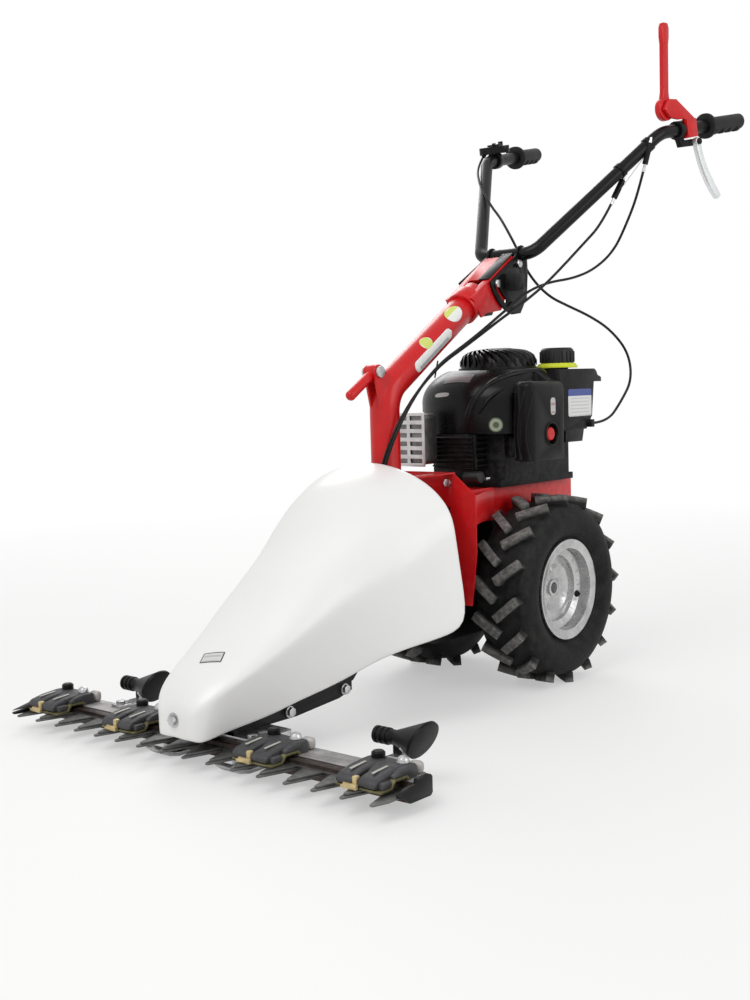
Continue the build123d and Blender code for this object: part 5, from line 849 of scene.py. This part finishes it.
# tie on the cables beside the column
tieFacts = {"from": (22.5, -171.5, 577), "to": (22.5, -181, 548), "radius": 0.0014}
work = bmesh.new()
addRod(work, spot(*tieFacts["from"]), spot(*tieFacts["to"]), tieFacts["radius"], sides=10)
keepPiece(work, "cable_tie", "plastic", "chassis")

# blank labels that lie on the surfaces under them


labelThickness = 0.0003
labelLift = 0.0004
labelReach = 0.03  # how far outside the surface a label starts
labelSearch = 0.08  # how far inward the surface is looked for


def stickOn(target, name, finishName, place, out, up, size, corner):
    # corner is the share of the half height that is rounded away:
    # 1 gives straight sides with round ends, None an oval
    base = dressed[target].evaluated_get(bpy.context.evaluated_depsgraph_get())
    mesh = base.to_mesh()
    tree = BVHTree.FromPolygons([v.co for v in mesh.vertices], [p.vertices for p in mesh.polygons])
    base.to_mesh_clear()
    out = Vector(out).normalized()
    right = Vector(up).cross(out).normalized()
    top = out.cross(right)
    wide, tall = size[0] / 2, size[1] / 2
    work = bmesh.new()
    uvLayer = work.loops.layers.uv.new("label")
    bmesh.ops.create_grid(work, x_segments=28, y_segments=12, size=1)
    flat = {}
    for vert in work.verts:
        a, b = vert.co.x, vert.co.y
        if corner is None:  # square to disc
            a, b = a * math.sqrt(1 - b * b / 2), b * math.sqrt(1 - a * a / 2)
        else:
            into = max(0, abs(a) * wide - wide + corner * tall) / (corner * tall)
            b *= 1 - corner + corner * math.sqrt(1 - min(1, into) ** 2)
        flat[vert] = (a, b)
        start = place + right * a * wide + top * b * tall + out * labelReach
        hit = tree.ray_cast(start, -out, labelSearch)[0]
        vert.co = (hit or start - out * labelReach) + out * labelLift
    for face in work.faces:
        for loop in face.loops:
            a, b = flat[loop.vert]
            loop[uvLayer].uv = (a / 2 + 0.5, b / 2 + 0.5)
    bmesh.ops.recalc_face_normals(work, faces=work.faces)
    if sum(face.normal.dot(out) for face in work.faces) < 0:
        bmesh.ops.reverse_faces(work, faces=work.faces)
    bmesh.ops.solidify(work, geom=work.faces[:], thickness=labelThickness)
    for face in work.faces:
        face.smooth = True
    piece = meshPiece(work, name, finishName)
    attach(piece, bodyOf[target])


alongColumn = (0, 0.8387, 0.5446)
overColumn = (0, -0.5446, 0.8387)
# name: what it lies on, finish, place (mm from the axle), outward, up, size in mm, corner share
labels = {
    "name_plate": ("blower_housing", "plate", (-4, -76, 543), (-0.05, -0.62, 0.78), (0, 0.78, 0.62),
                   (62, 24), 0.2),
    "oval_badge": ("blower_housing", "badge", (-28, -96, 517), (-0.2, -0.95, 0.28), (0, 0.28, 0.95),
                   (40, 9), None),
    "disc_label": ("blower_housing", "disc", (77.2, -80.3, 462.7), (0.54, -0.84, 0), (0, 0, 1),
                   (26, 26), None),
    "shield_label": ("filter_cover", "shield", (160, -25, 493), (1, 0, 0), (0, 0, 1), (15, 30), 0.4),
    "tank_label": ("fuel_tank", "tankLabel", (130, 112, 496), (1, 0, 0), (0, 0, 1), (80, 50), 0.1),
    "cover_label": ("front_cover", "coverLabel", (12, -706, 157), (0.05, -0.62, 0.78), (-0.3, 0.7, 0.6),
                    (36, 20), 0.1),
    "column_band": ("steering_column", "decal", (25, -184, 595), (1, 0, 0), overColumn, (122, 20), 1.0),
    "column_disc": ("steering_column", "decalGreen", (17.7, -196, 608), (0.71, -0.38, 0.59), alongColumn,
                    (24, 26), None),
    "column_oval": ("steering_column", "decalHalf", (18, -117, 660), (0.72, -0.38, 0.59), overColumn,
                    (40, 30), None),
    # a flat black disc on the rim: painted shade for the inside of the valve hole
    "valve_hole_painted_shade": ("rim_left", "blockBlack", (147.3, 63.6, 149), (0.96, -0.28, 0.08), (0, 0, 1),
                   (13, 12), None),
}
for name, (target, finishName, place, out, up, size, corner) in labels.items():
    stickOn(target, name, finishName, spot(*place), out, up, (size[0] / 1000, size[1] / 1000), corner)
print("labels laid")

# floor, light and camera

mirrored = 0.35  # how far a reflection sees the bright backdrop


def brightShare(f):
    # all of it for the camera, a share for reflections, none for the light itself
    direct = f.node("ShaderNodeLightPath", output="Is Camera Ray")
    return direct + f.node("ShaderNodeLightPath", output="Is Glossy Ray") * mirrored


floorFacts = {"half": 30.0, "colour": (0.80, 0.797, 0.79), "roughness": 0.6,
              "nearShare": 0.45, "fadeFrom": 1.1, "fadeTo": 3.4}
work = bmesh.new()
bmesh.ops.create_grid(work, x_segments=1, y_segments=1, size=floorFacts["half"])
mesh = bpy.data.meshes.new("floor")
work.to_mesh(mesh)
work.free()
floor = bpy.data.objects.new("floor", mesh)
bpy.context.scene.collection.objects.link(floor)
f = Finish("paleFloor")
x, y = f.axes("xy")
away = (x * x + y * y).maths("SQRT")
share = f.range(away, floorFacts["fadeFrom"], floorFacts["fadeTo"], floorFacts["nearShare"], 1.0)
ground = f.node("ShaderNodeBsdfPrincipled", None,
                {"Base Color": floorFacts["colour"], "Roughness": floorFacts["roughness"]})
glow = f.node("ShaderNodeEmission", None, {"Color": (1, 1, 1), "Strength": 1.0})
f.show(f.node("ShaderNodeMixShader", None, {0: brightShare(f) * share, 1: ground, 2: glow}))
mesh.materials.append(f.material)

skyFacts = {"light": 0.62, "seen": 1.0}
f = Finish("softSky", bpy.data.worlds)
dim = f.node("ShaderNodeBackground", None, {"Color": (1, 1, 1), "Strength": skyFacts["light"]})
full = f.node("ShaderNodeBackground", None, {"Color": (1, 1, 1), "Strength": skyFacts["seen"]})
f.show(f.node("ShaderNodeMixShader", None, {0: brightShare(f), 1: dim, 2: full}), "ShaderNodeOutputWorld")
bpy.context.scene.world = f.material

lamps = {
    "key": {"place": (0.2, -2.8, 3.4), "aim": (0, -0.2, 0.3), "size": 2.4, "power": 68},
    "side": {"place": (3.2, 0.4, 1.8), "aim": (0, 0.1, 0.4), "size": 2.0, "power": 26},
    "rear": {"place": (-2.4, 2.2, 2.6), "aim": (0, 0.2, 0.4), "size": 2.0, "power": 40},
}
for lampName, facts in lamps.items():
    light = bpy.data.lights.new(lampName, "AREA")
    light.size = facts["size"]
    light.energy = facts["power"]
    lamp = bpy.data.objects.new(lampName, light)
    bpy.context.scene.collection.objects.link(lamp)
    lamp.location = facts["place"]
    lamp.rotation_euler = (Vector(facts["aim"]) - Vector(facts["place"])).to_track_quat("-Z", "Y").to_euler()

view = {"place": (1.38293, -1.91702 + axleY, 0.53503), "yaw": 40.912, "down": 5.051, "roll": -1.666,
        "lens": 45.96, "sensor": 36}
yaw = math.radians(view["yaw"])
down = math.radians(view["down"])
roll = math.radians(view["roll"])
forward = Vector((-math.sin(yaw) * math.cos(down), math.cos(yaw) * math.cos(down), -math.sin(down)))
flatRight = Vector((math.cos(yaw), math.sin(yaw), 0))
flatUp = flatRight.cross(forward)
right = flatRight * math.cos(roll) + flatUp * math.sin(roll)
up = flatUp * math.cos(roll) - flatRight * math.sin(roll)
cameraData = bpy.data.cameras.new("camera")
cameraData.lens = view["lens"]
cameraData.sensor_width = view["sensor"]
camera = bpy.data.objects.new("camera", cameraData)
bpy.context.scene.collection.objects.link(camera)
camera.matrix_world = Matrix((
    (right.x, up.x, -forward.x, view["place"][0]),
    (right.y, up.y, -forward.y, view["place"][1]),
    (right.z, up.z, -forward.z, view["place"][2]),
    (0, 0, 0, 1),
))
bpy.context.scene.camera = camera
bpy.context.scene.view_settings.view_transform = "Standard"
print("stage set")
